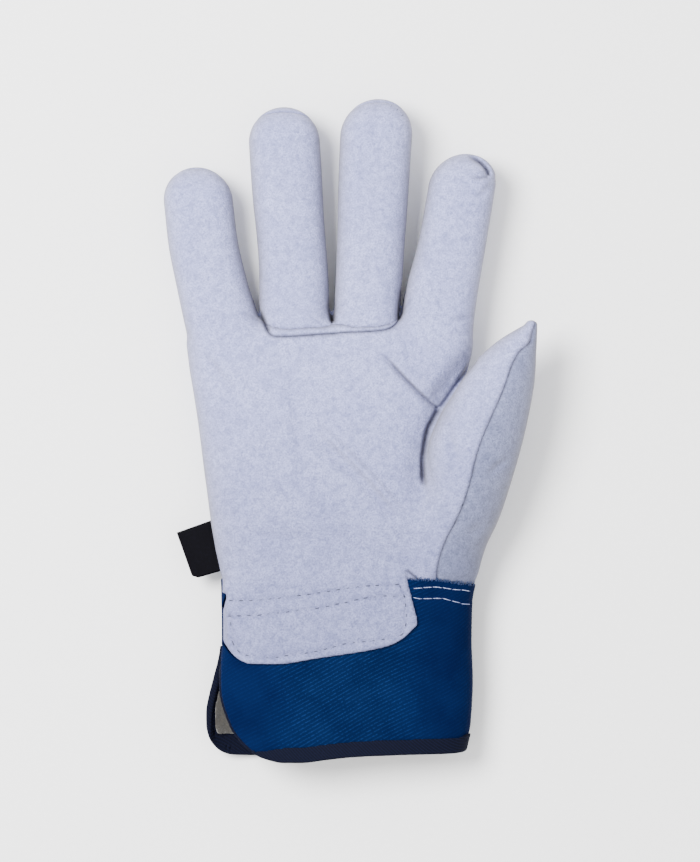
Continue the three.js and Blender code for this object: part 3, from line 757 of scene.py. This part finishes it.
def acrylicPileFleece():
    # knitted acrylic pile: curled tufts, pale at the ends, with painted shade in the hollows between them
    material, tree, shader = startMaterial("acrylic_pile_fleece")
    where = addNode(tree, "TexCoord").outputs["Object"]
    curls = addNode(tree, "TexVoronoi", {"feature": "SMOOTH_F1"}, {
        "Vector": where, "Scale": 1 / (fleece["curl"] * mm), "Smoothness": 0.6})
    fibre = addNode(tree, "TexNoise", None, {
        "Vector": where, "Scale": 1 / (fleece["fibre"] * mm), "Detail": 4.0, "Roughness": 0.7})
    # painted shade: darker towards the edge of each curl, in the hollows between tufts
    depth = addNode(tree, "MapRange", None, {
        "Value": curls.outputs["Distance"], "From Min": 0.15, "From Max": 0.75})
    base = addNode(tree, "Mix", mixColour, {
        0: depth.outputs[0], 6: linear(fleece["tuft"]), 7: linear(fleece["root"])})
    tips = addNode(tree, "MapRange", None, {
        "Value": fibre.outputs["Fac"], "From Min": 0.45, "From Max": 0.75, "To Max": 0.45})
    second = addNode(tree, "Mix", mixColour, {
        0: tips.outputs[0], 6: base.outputs[2], 7: linear(fleece["tips"])})
    # painted shade where the slit opens the cuff
    paintedShade = addNode(tree, "Attribute", {"attribute_name": "paintedShade"}).outputs["Fac"]
    third = addNode(tree, "Mix", mixColour, {0: paintedShade, 6: second.outputs[2], 7: linear(fleece["inShade"])})
    tree.links.new(third.outputs[2], shader.inputs["Base Color"])
    relief = addNode(tree, "Bump", {"invert": True}, {
        "Height": curls.outputs["Distance"], "Strength": 0.8, "Distance": 0.001})
    fuzz = addNode(tree, "Bump", None, {
        "Height": fibre.outputs["Fac"], "Strength": 0.6, "Distance": 0.0004, "Normal": relief.outputs[0]})
    tree.links.new(fuzz.outputs[0], shader.inputs["Normal"])
    shader.inputs["Roughness"].default_value = fleece["roughness"]
    shader.inputs["Sheen Weight"].default_value = 0.3
    return material


label = {
    "warp": "#07060c", "weft": "#030305", "lint": "#0e0d16",
    "thread": 0.35, "dust": 1.2,    # mm
    "roughness": 0.6,
}


def wovenSatinLabel():
    # damask label cloth: fine cross threads, a soft satin shine, and nothing woven into it
    material, tree, shader = startMaterial("woven_satin_label")
    where = addNode(tree, "TexCoord").outputs["Object"]
    weave = addNode(tree, "TexChecker", None, {
        "Vector": where, "Scale": 1 / (label["thread"] * mm), "Color1": linear(label["warp"]),
        "Color2": linear(label["weft"])})
    lint = addNode(tree, "TexNoise", None, {
        "Vector": where, "Scale": 1 / (label["dust"] * mm), "Detail": 3.0})
    share = addNode(tree, "MapRange", None, {
        "Value": lint.outputs["Fac"], "From Min": 0.5, "From Max": 0.8, "To Max": 0.3})
    base = addNode(tree, "Mix", mixColour, {
        0: share.outputs[0], 6: weave.outputs["Color"], 7: linear(label["lint"])})
    tree.links.new(base.outputs[2], shader.inputs["Base Color"])
    relief = addNode(tree, "Bump", None, {
        "Height": weave.outputs["Fac"], "Strength": 0.3, "Distance": 0.0002})
    tree.links.new(relief.outputs[0], shader.inputs["Normal"])
    shader.inputs["Roughness"].default_value = label["roughness"]
    shader.inputs["Specular IOR Level"].default_value = 0.03
    return material


thread = {
    "white": ("#a0a7c6", "#6e779e"), "grey": ("#4a4e68", "#2c2f42"),
    "charcoal": ("#2c2e40", "#141520"), "blue": ("#12305f", "#081c40"),
    "twist": 0.5,       # mm
    "roughness": 0.6,
}


def spunThread(name, light, dark):
    # three-ply sewing thread: a twist that runs round it, with a little shine
    material, tree, shader = startMaterial(name)
    where = addNode(tree, "TexCoord").outputs["Object"]
    ply = addNode(tree, "TexWave", {"bands_direction": "DIAGONAL"}, {
        "Vector": where, "Scale": wavesInMetre / (thread["twist"] * mm), "Distortion": 1.5, "Detail": 1.0})
    colour = addNode(tree, "Mix", mixColour, {0: ply.outputs["Fac"], 6: linear(dark), 7: linear(light)})
    tree.links.new(colour.outputs[2], shader.inputs["Base Color"])
    relief = addNode(tree, "Bump", None, {"Height": ply.outputs["Fac"], "Strength": 0.4, "Distance": 0.0001})
    tree.links.new(relief.outputs[0], shader.inputs["Normal"])
    shader.inputs["Roughness"].default_value = thread["roughness"]
    return material


suedeLeather = splitCowhideSuede("split_cowhide_suede", suede["light"], suede["mid"], suede["dark"])
# painted shade: a darker copy of the suede for the thumb's outer half
shadedLeather = splitCowhideSuede("split_cowhide_suede_painted_shade", *suede["outerThumb"])
blueTwill = dyedCottonTwill()
navyTape = wovenBindingTape()
creamPile = acrylicPileFleece()
blackLabel = wovenSatinLabel()
whiteThread = spunThread("white_polyester_thread", *thread["white"])
greyThread = spunThread("grey_sewing_thread", *thread["grey"])
charcoalThread = spunThread("charcoal_sewing_thread", *thread["charcoal"])
blueYarn = spunThread("loose_cotton_yarn", *thread["blue"])
say("materials")


# Leather pieces, all cut from one field

block = Block((-80, -98, -3), (80, 138, 46), 0.7)
skin = gloveDistance(block)
say("glove field")

height = seamHeight(*block.plan)
sideGap = block.z - height[:, :, None]
onPalmSide = smoothStep(-0.5, 4.0, sideGap)
relief, innerRelief = reliefOf(block)

rootLine = smoothPath(seams["fingerRoot"])
weltLine = smoothPath(seams["weltTop"])
thumbLine = smoothPath(seams["thumb"])
fingersPlan = outsideOf(block, np.vstack([rootLine, [(30, 150), (-46, 150)]]))
weltPlan = outsideOf(block, np.vstack([weltLine, [(60, 52), (60, 0), (-60, 0), (-60, 47)]]))
thumbPlan = outsideOf(block, np.vstack([thumbLine, [(95, 60), (95, -66)]]))
tabPlan = outsideOf(block, smoothPath(tab + tab[:1]))
notchPlan = outsideOf(block, notch)
planX, planY = block.plan

# The leather dips into each seam and puckers between stitches. The fingers' root strip stands proud,
# and the thumb's inner half stands above its outer half.
pucker = 0.14 * np.sin(planY * 2 * math.pi / 3.4) + 0.14 * np.sin(planX * 2 * math.pi / 3.7)
rootDip = np.exp(-((fingersPlan / 0.8) ** 2)) * smoothStep(62, 54, planY)
weltDip = 0.75 * np.exp(-((weltPlan / 0.8) ** 2)) * smoothStep(0.5, -0.5, fingersPlan)
thumbDip = 0.75 * np.exp(-((thumbPlan / 0.8) ** 2)) * smoothStep(45, 38, planY)
planDip = (hand["seamRoll"] + pucker) * np.maximum(np.maximum(rootDip, weltDip), thumbDip)
planDip -= 0.55 * smoothStep(0.5, -0.8, fingersPlan) * smoothStep(1.0, -0.6, weltPlan)
outerThumb = smoothStep(0.2, -0.6, thumbPlan) * np.exp(np.minimum(thumbPlan, 0) / 5)
planDip += 0.7 * outerThumb * smoothStep(44, 30, planY)
sideDip = (hand["seamRoll"] * 0.8 + pucker[:, :, None]) * np.exp(-((sideGap / 1.0) ** 2))
sideDip = sideDip * smoothStep(-62, -56, block.y)

# The tab lies on the twill. Elsewhere the twill lies on the leather. Over the top the tab stands out,
# and down the side the twill is pressed in under it instead.
laps = {
    "under": 1.7,       # the leather is let in this far under the twill
    "over": 1.9,        # and the tab stands this far out over it
    "flank": 0.95,      # but down the side the tab too is let in, this far
    "flankTop": (18, 25),       # the height where the one turns into the other
    "sinks": 0.6,       # the tab's underside sinks this far into the soft twill
    "snip": 0.7,
    "floorEdge": 1.2,   # roundness where the leather lies on the floor
}
overTwill = smoothStep(0.6, -0.6, tabPlan) * smoothStep(-55, -61, planY)
belowEdge = smoothStep(1.0, -1.6, planY - rawEdge(planX))
underTwill = smoothStep(-0.2, 0.8, tabPlan) * belowEdge
aboveTabEdge = smoothStep(hand["tabEdge"] - 0.5, hand["tabEdge"], block.z)
standsOut = smoothStep(*laps["flankTop"], block.z)
onFlank = (overTwill * (planX < -20))[:, :, None] * (1 - standsOut)
layers = underTwill[:, :, None] * aboveTabEdge + belowEdge[:, :, None] * (1 - aboveTabEdge)
layers = laps["under"] * layers - laps["over"] * overTwill[:, :, None] * standsOut + laps["flank"] * onFlank
snip = laps["snip"] * smoothStep(0.3, -0.3, notchPlan)[:, :, None]
creased = skin + layers + (planDip - relief)[:, :, None] * onPalmSide + sideDip
leatherSkin = smoothMax(creased + snip * onPalmSide, -block.z, laps["floorEdge"])

# the same for the leather's inner face, which dips less
besideTab = overTwill * smoothStep(-60, -64, planY)
innerLayers = (laps["under"] * belowEdge * (1 - besideTab))[:, :, None] + laps["flank"] * onFlank
innerLayers = innerLayers - laps["over"] * besideTab[:, :, None] * standsOut
innerLayers = np.where(block.z > hand["tabEdge"], innerLayers, layers)
innerFace = skin + innerLayers + (0.9 * planDip - innerRelief)[:, :, None] * onPalmSide + 0.8 * sideDip
innerFace = smoothMax(innerFace, -block.z, laps["floorEdge"])
thickness = hand["leather"] + laps["sinks"] * besideTab[:, :, None]
shell = smoothMax(leatherSkin, -(innerFace + thickness), 0.4)

leatherEnd = -66.0
split = -7.2        # where the two middle fingers' fronts meet
stripDrop = 3.0     # the root strip stays this far above the side seam
edge = 0.8          # roundness of a cut or turned edge
half = seams["gap"] / 2
aboveSide = half - sideGap


def leatherPiece(name, plan, sides, node, hide=suedeLeather):
    region = np.maximum(plan[:, :, None], sides)
    storePaintedShade(skinMesh(name, smoothMax(shell, region, edge), block, hide, node))


palmPlan = np.minimum(leatherEnd - planY, tabPlan)
palmPlan = np.maximum(palmPlan, half - np.maximum(fingersPlan, planY - 150))
palmPlan = np.maximum(palmPlan, half - thumbPlan)
palmSides = np.where(block.y < -64, hand["tabEdge"] - block.z, aboveSide)
leatherPiece("palm_and_tab", palmPlan, palmSides, "palm_leather")
frontPlan = np.maximum(fingersPlan, -weltPlan) + half
leatherPiece("ring_front", np.maximum(frontPlan, planX - split + half), aboveSide, "ring_finger_front")
leatherPiece("middle_front", np.maximum(frontPlan, split + half - planX), aboveSide, "middle_finger_front")
leatherPiece("root_welt", np.maximum(fingersPlan, weltPlan) + half, aboveSide + stripDrop, "finger_root_welt")
thumbSide = np.maximum(thumbPlan + half, leatherEnd - planY)
leatherPiece("thumb_outer", thumbSide, aboveSide, "thumb_back", shadedLeather)
leatherPiece("hand_back", leatherEnd - planY, half + sideGap, "back_leather")
say("leather")


# The cuff: twill sheet, tape over its edges, pile inside

cuff = {
    "twill": 1.3,
    "front": [(-57, -83), (-53, -85.4), (-51.7, -88), (-51.5, -103), (-50.7, -107.8), (-49, -113),
              (-46.4, -119), (-43.6, -122.8), (-41, -125.4), (-37, -128.4), (-32, -130.2), (-26.8, -131.2),
              (-19.6, -131.2), (-10, -130.1), (0, -129), (11.2, -128.4), (26, -128), (40, -127.8),
              (44.4, -127.5), (46.4, -127), (48, -126.3), (80, -126.3)],
    "back": [(-57, -83), (-53, -85.4), (-51.8, -88), (-52.3, -92), (-53.8, -98), (-55.8, -105.4),
             (-56.9, -112), (-56.8, -117.8), (-55.8, -122.4), (-53.6, -126), (-50.8, -128.2), (-47, -129.3),
             (-38, -129.6), (-20, -129.4), (10, -128.4), (40, -127.8), (44.4, -127.5), (46.4, -127),
             (48, -126.3), (80, -126.3)],
    "slitTop": -86.0, "slitLow": 11.0, "slitHigh": 16.0,
    "tape": 0.8, "tapeWidth": 5.5, "backTapeWidth": 3.4, "backTapeInside": 8.0,
    "tapeStarts": (-42.0, -24.0),   # the front's edge is rolled under further left, so no tape shows there
    "pile": 3.6, "pileSetback": 2.8, "pileEnd": -121.6,
    "pressedIn": 2.8, "pilePressedIn": 3.0,     # how far twill and pile give way under the tab's flank
    "ripple": 0.16,
    "raised": 0.5,      # the leather below lifts the cloth at its top
}


def cuffEdges(block):
    # how far a place is from the cuff's cut edges, less than zero on the cuff, and where the slit parts it
    around = [(80, -20), (-90, -20), (-90, -80)]
    front, back = (outsideOf(block, np.vstack([smoothPath(cuff[name]), around]))[:, :, None]
                   for name in ("front", "back"))
    x, y, z = block.x, block.y, block.z
    onFront = z > (cuff["slitLow"] + cuff["slitHigh"]) / 2
    beyond = (y < cuff["slitTop"]) & (x < -20)
    frontPart = np.maximum(front, np.where(beyond, cuff["slitHigh"] - z, -99))
    backPart = np.maximum(back, np.where(beyond, z - cuff["slitLow"], -99))
    slit = np.maximum(cuff["slitLow"] - z, z - cuff["slitHigh"])
    besideSlit = -np.maximum(np.maximum(y - cuff["slitTop"], x + 20), slit)
    edges = np.maximum(np.where(onFront, frontPart, backPart), besideSlit)
    return edges, np.where(onFront, front, back), besideSlit, onFront


cuffBlock = Block((-61, -137, -2), (56, -56, 36), 0.5)
cuffSkin = tubeDistance(cuffBlock, cuffTube)
edges, _, _, onFront = cuffEdges(cuffBlock)
say("cuff field")

# The cloth is soft: long ripples, and the hand below shows through a little.
ripple = unevenness(cuffBlock, cuff["ripple"], (37, 47, 29), 8)
sheetSkin = cuffSkin + ripple * smoothStep(1, 8, cuffBlock.z)
raised = cuff["raised"] * smoothStep(-68, -61, cuffBlock.y) * smoothStep(-50, -44, cuffBlock.x)
sheetSkin = sheetSkin - raised * smoothStep(1, 8, cuffBlock.z)


def underFlank(block, wider):
    # where the tab's flank presses the layers below it in
    here = smoothStep(0.3 + wider, -0.7 + wider, outsideOf(block, smoothPath(tab + tab[:1])))
    here = here * (block.plan[0] < -20)
    level = smoothStep(hand["tabEdge"] - 1.0 - wider, hand["tabEdge"] + 1.4 - wider, block.z)
    low, high = laps["flankTop"]
    return here[:, :, None] * level * smoothStep(high + wider, low + wider, block.z)


sheetSkin = sheetSkin + cuff["pressedIn"] * underFlank(cuffBlock, 0.5)
sheetSkin = smoothMax(sheetSkin, 0.8 - cuffBlock.z, 1.0)
sheet = smoothMax(smoothMax(sheetSkin, -(sheetSkin + cuff["twill"]), 0.5), edges, 0.8)
frayed = 0.10 * np.sin(cuffBlock.x * 2.3) + 0.12 * np.sin(cuffBlock.x * 0.9 + 1)
frayed = frayed + 0.05 * np.sin(cuffBlock.x * 6.1)
topCut = cuffBlock.y - rawEdge(cuffBlock.x) - np.where(cuffBlock.z > 12, frayed, 0.4 * frayed)
twillPiece = skinMesh("twill_cuff", np.maximum(sheet, topCut), cuffBlock, blueTwill, "cuff")

# Tape folded over the edge: the sheet's edge grown all round, and only inside on the front's rolled left edge
tapeShare = smoothStep(cuff["tapeStarts"][0], cuff["tapeStarts"][1], cuffBlock.x)
outside = sheetSkin + cuff["twill"] / 2
frontWidth = np.where(outside > 0, cuff["tapeWidth"] * tapeShare, cuff["tapeWidth"])
# the back's tape runs further up its inside at the bottom: partly real binding, partly a dark strip put where the
# inside lies in shade
insideWidth = (cuff["backTapeInside"] - cuff["backTapeWidth"]) * smoothStep(-117, -121, cuffBlock.y)
backWidth = np.where(outside > 0, cuff["backTapeWidth"], cuff["backTapeWidth"] + insideWidth)
width = np.where(onFront, frontWidth, backWidth)
frontGrown = cuff["tape"] * smoothStep(0.0, 0.3, tapeShare) - 0.3 * (tapeShare < 0.02)
grown = np.where(onFront & (outside > -0.2), frontGrown, cuff["tape"])
taped = np.maximum(np.maximum(sheet - grown, -(edges + width)), 0.06 - sheet)
taped = smoothMax(taped, -cuffBlock.z, 0.5)
taped = np.maximum(taped, cuffBlock.y - cuff["slitTop"])
skinMesh("edge_tape", taped, cuffBlock, navyTape, "cuff_binding")


# Pile lining: a thick uneven layer inside the cuff and the heel of the hand

liningBlock = Block((-60, -128, 0), (66, -18, 40), 0.9)
liningSkin = gloveDistance(liningBlock)
_, liningPlan, besideSlit, _ = cuffEdges(liningBlock)
liningEdges = np.maximum(liningPlan + cuff["pileSetback"], cuff["pileEnd"] - liningBlock.y)
liningEdges = np.maximum(liningEdges, besideSlit)
underLeather = smoothStep(-50, -55, liningBlock.y) * smoothStep(-72, -67, liningBlock.y)
inner = smoothMax(liningSkin, 2.4 - liningBlock.z, 1.5) + 1.5 + 2.6 * underLeather
inner = inner + 1.1 * smoothStep(-72, -60, liningBlock.y)
inner = inner + cuff["pilePressedIn"] * underFlank(liningBlock, 2.0)
tufts = unevenness(liningBlock, 0.9, (5.1, 6.3, 4.3, 7.1, 3.7), 21)
pile = smoothMax(inner, -(inner + cuff["pile"]) + tufts, 1.0)
pile = smoothMax(pile, np.maximum(liningEdges, liningBlock.y + 20), 1.5)
liningPiece = skinMesh("pile_lining", pile, liningBlock, creamPile, "lining")


slitShade = {"amount": 0.97, "x": (-40, -46), "y": (-84, -94)}      # painted shade: the pile is drawn dark where the slit opens it, where it lies in shade
x, y, _ = pointsOf(liningPiece).T / mm
storeOnPoints(liningPiece, "paintedShade", slitShade["amount"] * smoothStep(*slitShade["x"], x) * smoothStep(*slitShade["y"], y))


# The twill's ribs follow the cuff round: each point keeps its way round the sheet and its place along it

wrapped = {"middle": (-3.5, 14.0), "halfWidth": 51.0, "halfHeight": 14.5}


def storeWrap(piece):
    halfWidth, halfHeight = wrapped["halfWidth"] * mm, wrapped["halfHeight"] * mm
    middleX, middleZ = wrapped["middle"]
    turns = np.linspace(-math.pi, math.pi, 721)
    outline = np.stack([halfWidth * np.cos(turns), halfHeight * np.sin(turns)], 1)
    run = np.concatenate([[0], np.cumsum(np.linalg.norm(np.diff(outline, axis=0), axis=1))])
    co = pointsOf(piece)
    turn = np.arctan2((co[:, 2] - middleZ * mm) / halfHeight, (co[:, 0] - middleX * mm) / halfWidth)
    storeOnPoints(piece, "wrap", np.stack([-np.interp(turn, turns, run), co[:, 1], np.zeros(len(co))], 1))


storeWrap(twillPiece)
say("cuff")


# Side tag: a folded strip of label cloth, its two ends held in the seam

tagShape = {
    "seamTop": (-50.5, -33.9), "seamLow": (-47.2, -54.7),
    "foldTop": (-69.2, -40.6), "foldLow": (-63.1, -58.0),
    "lowCorner": (-60.7, -58.7),    # the fold's end is nipped off
    "thickness": 0.45, "height": 12.4, "opening": 0.9,
    "across": 28, "down": 22,       # how finely it is divided
}


def foldedTag():
    names = ("seamTop", "seamLow", "foldTop", "foldLow", "lowCorner")
    seamTop, seamLow, foldTop, foldLow, lowCorner = (np.array(tagShape[name]) for name in names)
    across, down = tagShape["across"], tagShape["down"]
    points, faces = [], []
    for layer in (1, -1):
        for i in range(across + 1):
            u = i / across
            for j in range(down + 1):
                v = j / down
                topSide = seamTop * (1 - u) + foldTop * u
                if u < 0.85:
                    lowSide = seamLow + (lowCorner - seamLow) * u / 0.85
                else:
                    lowSide = lowCorner + (foldLow - lowCorner) * (u - 0.85) / 0.15
                spot = topSide * (1 - v) + lowSide * v
                bend = 0.8 * math.sin(u * 2.4 + v * 1.3) - 0.6 * u * u
                gape = tagShape["opening"] * math.sqrt(max(1 - u**6, 0))
                points.append((spot[0], spot[1], tagShape["height"] + bend + layer * gape / 2))
    stride = down + 1
    single = (across + 1) * stride
    for i in range(across):
        for j in range(down):
            a = i * stride + j
            faces.append((a, a + stride, a + stride + 1, a + 1))
            b = single + a
            faces.append((b, b + 1, b + stride + 1, b + stride))
    for j in range(down):
        a, b = across * stride + j, single + across * stride + j
        faces.append((a, b, b + 1, a + 1))
    piece = meshPiece("folded_tag", np.array(points), np.array(faces), blackLabel, "side_tag")
    thick = piece.modifiers.new("cloth", "SOLIDIFY")
    thick.thickness = tagShape["thickness"] * mm
    thick.offset = 0


foldedTag()


# Stitches: short bent capsules laid on the finished surfaces

def surfaceTree(names):
    points, faces = [], []
    for name in names:
        piece = bpy.data.objects[name]
        loops = np.zeros(len(piece.data.loops), np.int32)
        piece.data.loops.foreach_get("vertex_index", loops)
        faces.append(loops.reshape(-1, 4) + sum(len(p) for p in points))
        points.append(pointsOf(piece))
    return BVHTree.FromPolygons(np.vstack(points).tolist(), np.vstack(faces).tolist())


def dropOn(tree, x, y, fromBelow=False):
    # the skin's place and way out under or over a plan point, in millimetres
    side = -1 if fromBelow else 1
    hit, normal, _, _ = tree.ray_cast(Vector((x * mm, y * mm, 0.1 * side)), Vector((0, 0, -side)))
    return (hit / mm, normal) if hit else (None, None)


def capsule(points, normals, radius, sides=6):
    # a thread from its first point to its last, round at both ends
    points = [Vector(p) for p in points]
    rings = []
    last = len(points) - 1
    for i, (p, n) in enumerate(zip(points, normals)):
        ahead = (points[min(i + 1, last)] - points[max(i - 1, 0)]).normalized()
        out = Vector(n).normalized()
        sideways = ahead.cross(out).normalized()
        out = sideways.cross(ahead)
        size = radius * (0.45 if i in (0, last) else 1)
        rings.append([p + size * (math.cos(a) * sideways + math.sin(a) * out)
                      for a in (2 * math.pi * k / sides for k in range(sides))])
    return rings


def threadMesh(name, threads, material):
    # all the stitches of one thread as one joined mesh
    points, faces = [], []
    for rings in threads:
        sides = len(rings[0])
        start = len(points)
        for ring in rings:
            points += [tuple(p) for p in ring]
        for i in range(len(rings) - 1):
            for k in range(sides):
                a, b = start + i * sides + k, start + i * sides + (k + 1) % sides
                faces.append((a, b, b + sides, a + sides))
        for i, flip in ((0, True), (len(rings) - 1, False)):
            middle = len(points)
            points.append(tuple(np.mean([tuple(p) for p in rings[i]], 0)))
            for k in range(0, sides, 2):
                a, b, c = (start + i * sides + (k + s) % sides for s in (0, 1, 2))
                faces.append((middle, c, b, a) if flip else (middle, a, b, c))
    meshPiece(name, np.array(points), np.array(faces), material)


def stitchesAlong(tree, path, length, radius, sunk, play=1.0, fromBelow=False):
    # evenly pitched stitches over a plan path; play is how unevenly they are pulled in
    line = smoothPath(path, 0.25)
    along = np.concatenate([[0], np.cumsum(np.linalg.norm(np.diff(line, axis=0), axis=1))])
    threads = []
    for start in np.arange(0.4, along[-1] - length, stitches["pitch"]):
        wander = chance.normal(0, stitches["wander"], 2)
        stretch = 1 - play * chance.uniform(-0.1, 0.3)
        deeper = play * chance.uniform(0, 0.5) ** 2
        spots, ways = [], []
        for t in np.linspace(0, 1, 5):
            at = start + t * length * stretch
            x, y = np.interp(at, along, line[:, 0]), np.interp(at, along, line[:, 1])
            spot, way = dropOn(tree, x + wander[0], y + wander[1] * (1 - t), fromBelow)
            if spot is None:
                break
            depth = -sunk - deeper - (0.35 if t in (0, 1) else 0) * radius
            spots.append(spot + way * depth)
            ways.append(way)
        if len(spots) == 5:
            threads.append(capsule(spots, ways, radius))
    return threads


def stitchRows(name, cloth, material, rows):
    tree = surfaceTree([cloth])
    threads = []
    for row, kind in rows:
        threads += stitchesAlong(tree, stitches[row], **stitches[kind])
    threadMesh(name, threads, material)
    return tree


# the tab's stitches are near-black: partly the thread's own colour, partly painted shade of their needle holes
stitchRows("tab_stitches", "palm_and_tab", charcoalThread, [
    ("upper", "leather"), ("lower", "leather"), ("border", "leather")])
twillTree = stitchRows("twill_stitches", "twill_cuff", whiteThread, [
    ("upperTwill", "twill"), ("lowerTwill", "twill"), ("upperBack", "back"), ("lowerBack", "back")])

seamThread = {
    "spacing": 0.9, "wander": 0.08, "deeper": 0.12,
    "runs": [       # path, radius, how far sunk
        (seams["fingerRoot"][3:15], 0.2, 0.08), (seams["thumb"][1:16], 0.18, 0.08),
        (seams["weltTop"][2:16], 0.14, 0.1)],
    "overTips": [   # stitches that show over a fingertip: where each starts and what it points at
        ((10, 131.3), (10, 118)), ((13.8, 131), (11, 118)), ((16.6, 130), (12, 118)),
        ((19.2, 128.5), (12, 118)), ((21.3, 126.2), (12, 118)), ((-36.6, 125), (-30, 118)),
        ((-18, 127.4), (-22, 118))],
    "tipRadius": 0.17, "tipSunk": 0.05,
}


def strandAlong(tree, path, radius, sunk):
    # the thread at the bottom of a seam, one long bent strand with a little play; its dark grey is partly thread and
    # partly the painted shadow line of the seam's groove
    wander = seamThread["wander"]
    spots, ways = [], []
    for x, y in smoothPath(path, seamThread["spacing"]):
        spot, way = dropOn(tree, x + chance.normal(0, wander), y + chance.normal(0, wander))
        if spot is None:
            continue
        spots.append(spot - way * (sunk + chance.uniform(0, seamThread["deeper"])))
        ways.append(way)
    return capsule(spots, ways, radius)


handTree = surfaceTree(["palm_and_tab", "ring_front", "middle_front", "root_welt", "thumb_outer"])
strands = [strandAlong(handTree, *run) for run in seamThread["runs"]]
for start, aim in seamThread["overTips"]:
    way = np.subtract(aim, start) / np.linalg.norm(np.subtract(aim, start))
    drops = [dropOn(handTree, *(np.array(start) + way * t)) for t in (0, 0.4, 0.8, 1.2)]
    if all(spot is not None for spot, _ in drops):
        spots = [spot - out * seamThread["tipSunk"] for spot, out in drops]
        strands.append(capsule(spots, [out for _, out in drops], seamThread["tipRadius"]))
threadMesh("seam_threads", strands, greyThread)

frayedYarn = {"count": 70, "length": (0.6, 2.2), "radius": 0.11}    # yarns worked out of the cut edge


def looseYarns():
    # short ends along the cuff's cut top edge on the thumb's side
    yarns = []
    for x in chance.uniform(23.5, 49.5, frayedYarn["count"]):
        spot, way = dropOn(twillTree, x, float(rawEdge(x)) - 0.4)
        if spot is None:
            continue
        lean = chance.normal(0, 0.6)
        ahead = Vector((math.sin(lean), math.cos(lean), 0))
        length = chance.uniform(*frayedYarn["length"])
        curl = chance.normal(0, 0.25)
        spots = []
        for t in np.linspace(-0.3, 1, 5):
            rise = way * (0.1 + 0.25 * math.sin(2.4 * t))
            spots.append(spot + ahead * length * t + rise + Vector((curl * t * t, 0, 0)))
        yarns.append(capsule(spots, [way] * 5, frayedYarn["radius"]))
    threadMesh("loose_yarns", yarns, blueYarn)


looseYarns()
say("stitches")


# Floor, light and camera

def softLight(name, spot, size, power, aim=(0, 0, 0)):
    lamp = bpy.data.lights.new(name, "AREA")
    lamp.shape = "DISK"
    lamp.size = size
    lamp.energy = power
    shown = place(name, lamp)
    shown.location = spot
    shown.rotation_euler = (Vector(aim) - Vector(spot)).to_track_quat("-Z", "Y").to_euler()


def paleFloor():
    size = 3.0
    corners = np.array([(-size, -size, 0), (size, -size, 0), (size, size, 0), (-size, size, 0)])
    mesh = bpy.data.meshes.new("floor")
    mesh.from_pydata([tuple(c) for c in corners], [], [(0, 1, 2, 3)])
    material, tree, shader = startMaterial("matt_white_paper")
    where = addNode(tree, "TexCoord").outputs["Object"]
    grain = addNode(tree, "TexNoise", None, {"Vector": where, "Scale": 1 / (2 * mm), "Detail": 2.0})
    tone = addNode(tree, "Mix", mixColour, {
        0: grain.outputs["Fac"], 6: linear("#fafafa"), 7: linear("#f4f4f5")})
    tree.links.new(tone.outputs[2], shader.inputs["Base Color"])
    shader.inputs["Roughness"].default_value = 0.9
    mesh.materials.append(material)
    floor = place("floor", mesh)


paleFloor()
studio = {"world": 1.6, "key": 43.0, "fill": 3.0}
world = bpy.data.worlds.new("studio")
world.use_nodes = True
world.node_tree.nodes["Background"].inputs["Color"].default_value = linear("#ffffff")
world.node_tree.nodes["Background"].inputs["Strength"].default_value = studio["world"]
bpy.context.scene.world = world
softLight("key", (-0.55, 0.3, 1.1), 0.6, studio["key"])
softLight("fill", (0.5, -0.3, 1.4), 0.9, studio["fill"])

photo = {"height": 862, "mmPerPixel": 0.4, "lens": 200.0, "longSide": 36.0, "sharpAt": 14.0}
distance = photo["lens"] * photo["height"] * photo["mmPerPixel"] / photo["longSide"] + photo["sharpAt"]
view = bpy.data.cameras.new("camera")
view.lens = photo["lens"]
view.sensor_width = photo["longSide"]
view.clip_end = 20
camera = place("camera", view)
camera.location = (0, 0, distance * mm)
bpy.context.scene.camera = camera

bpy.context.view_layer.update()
say("ready")
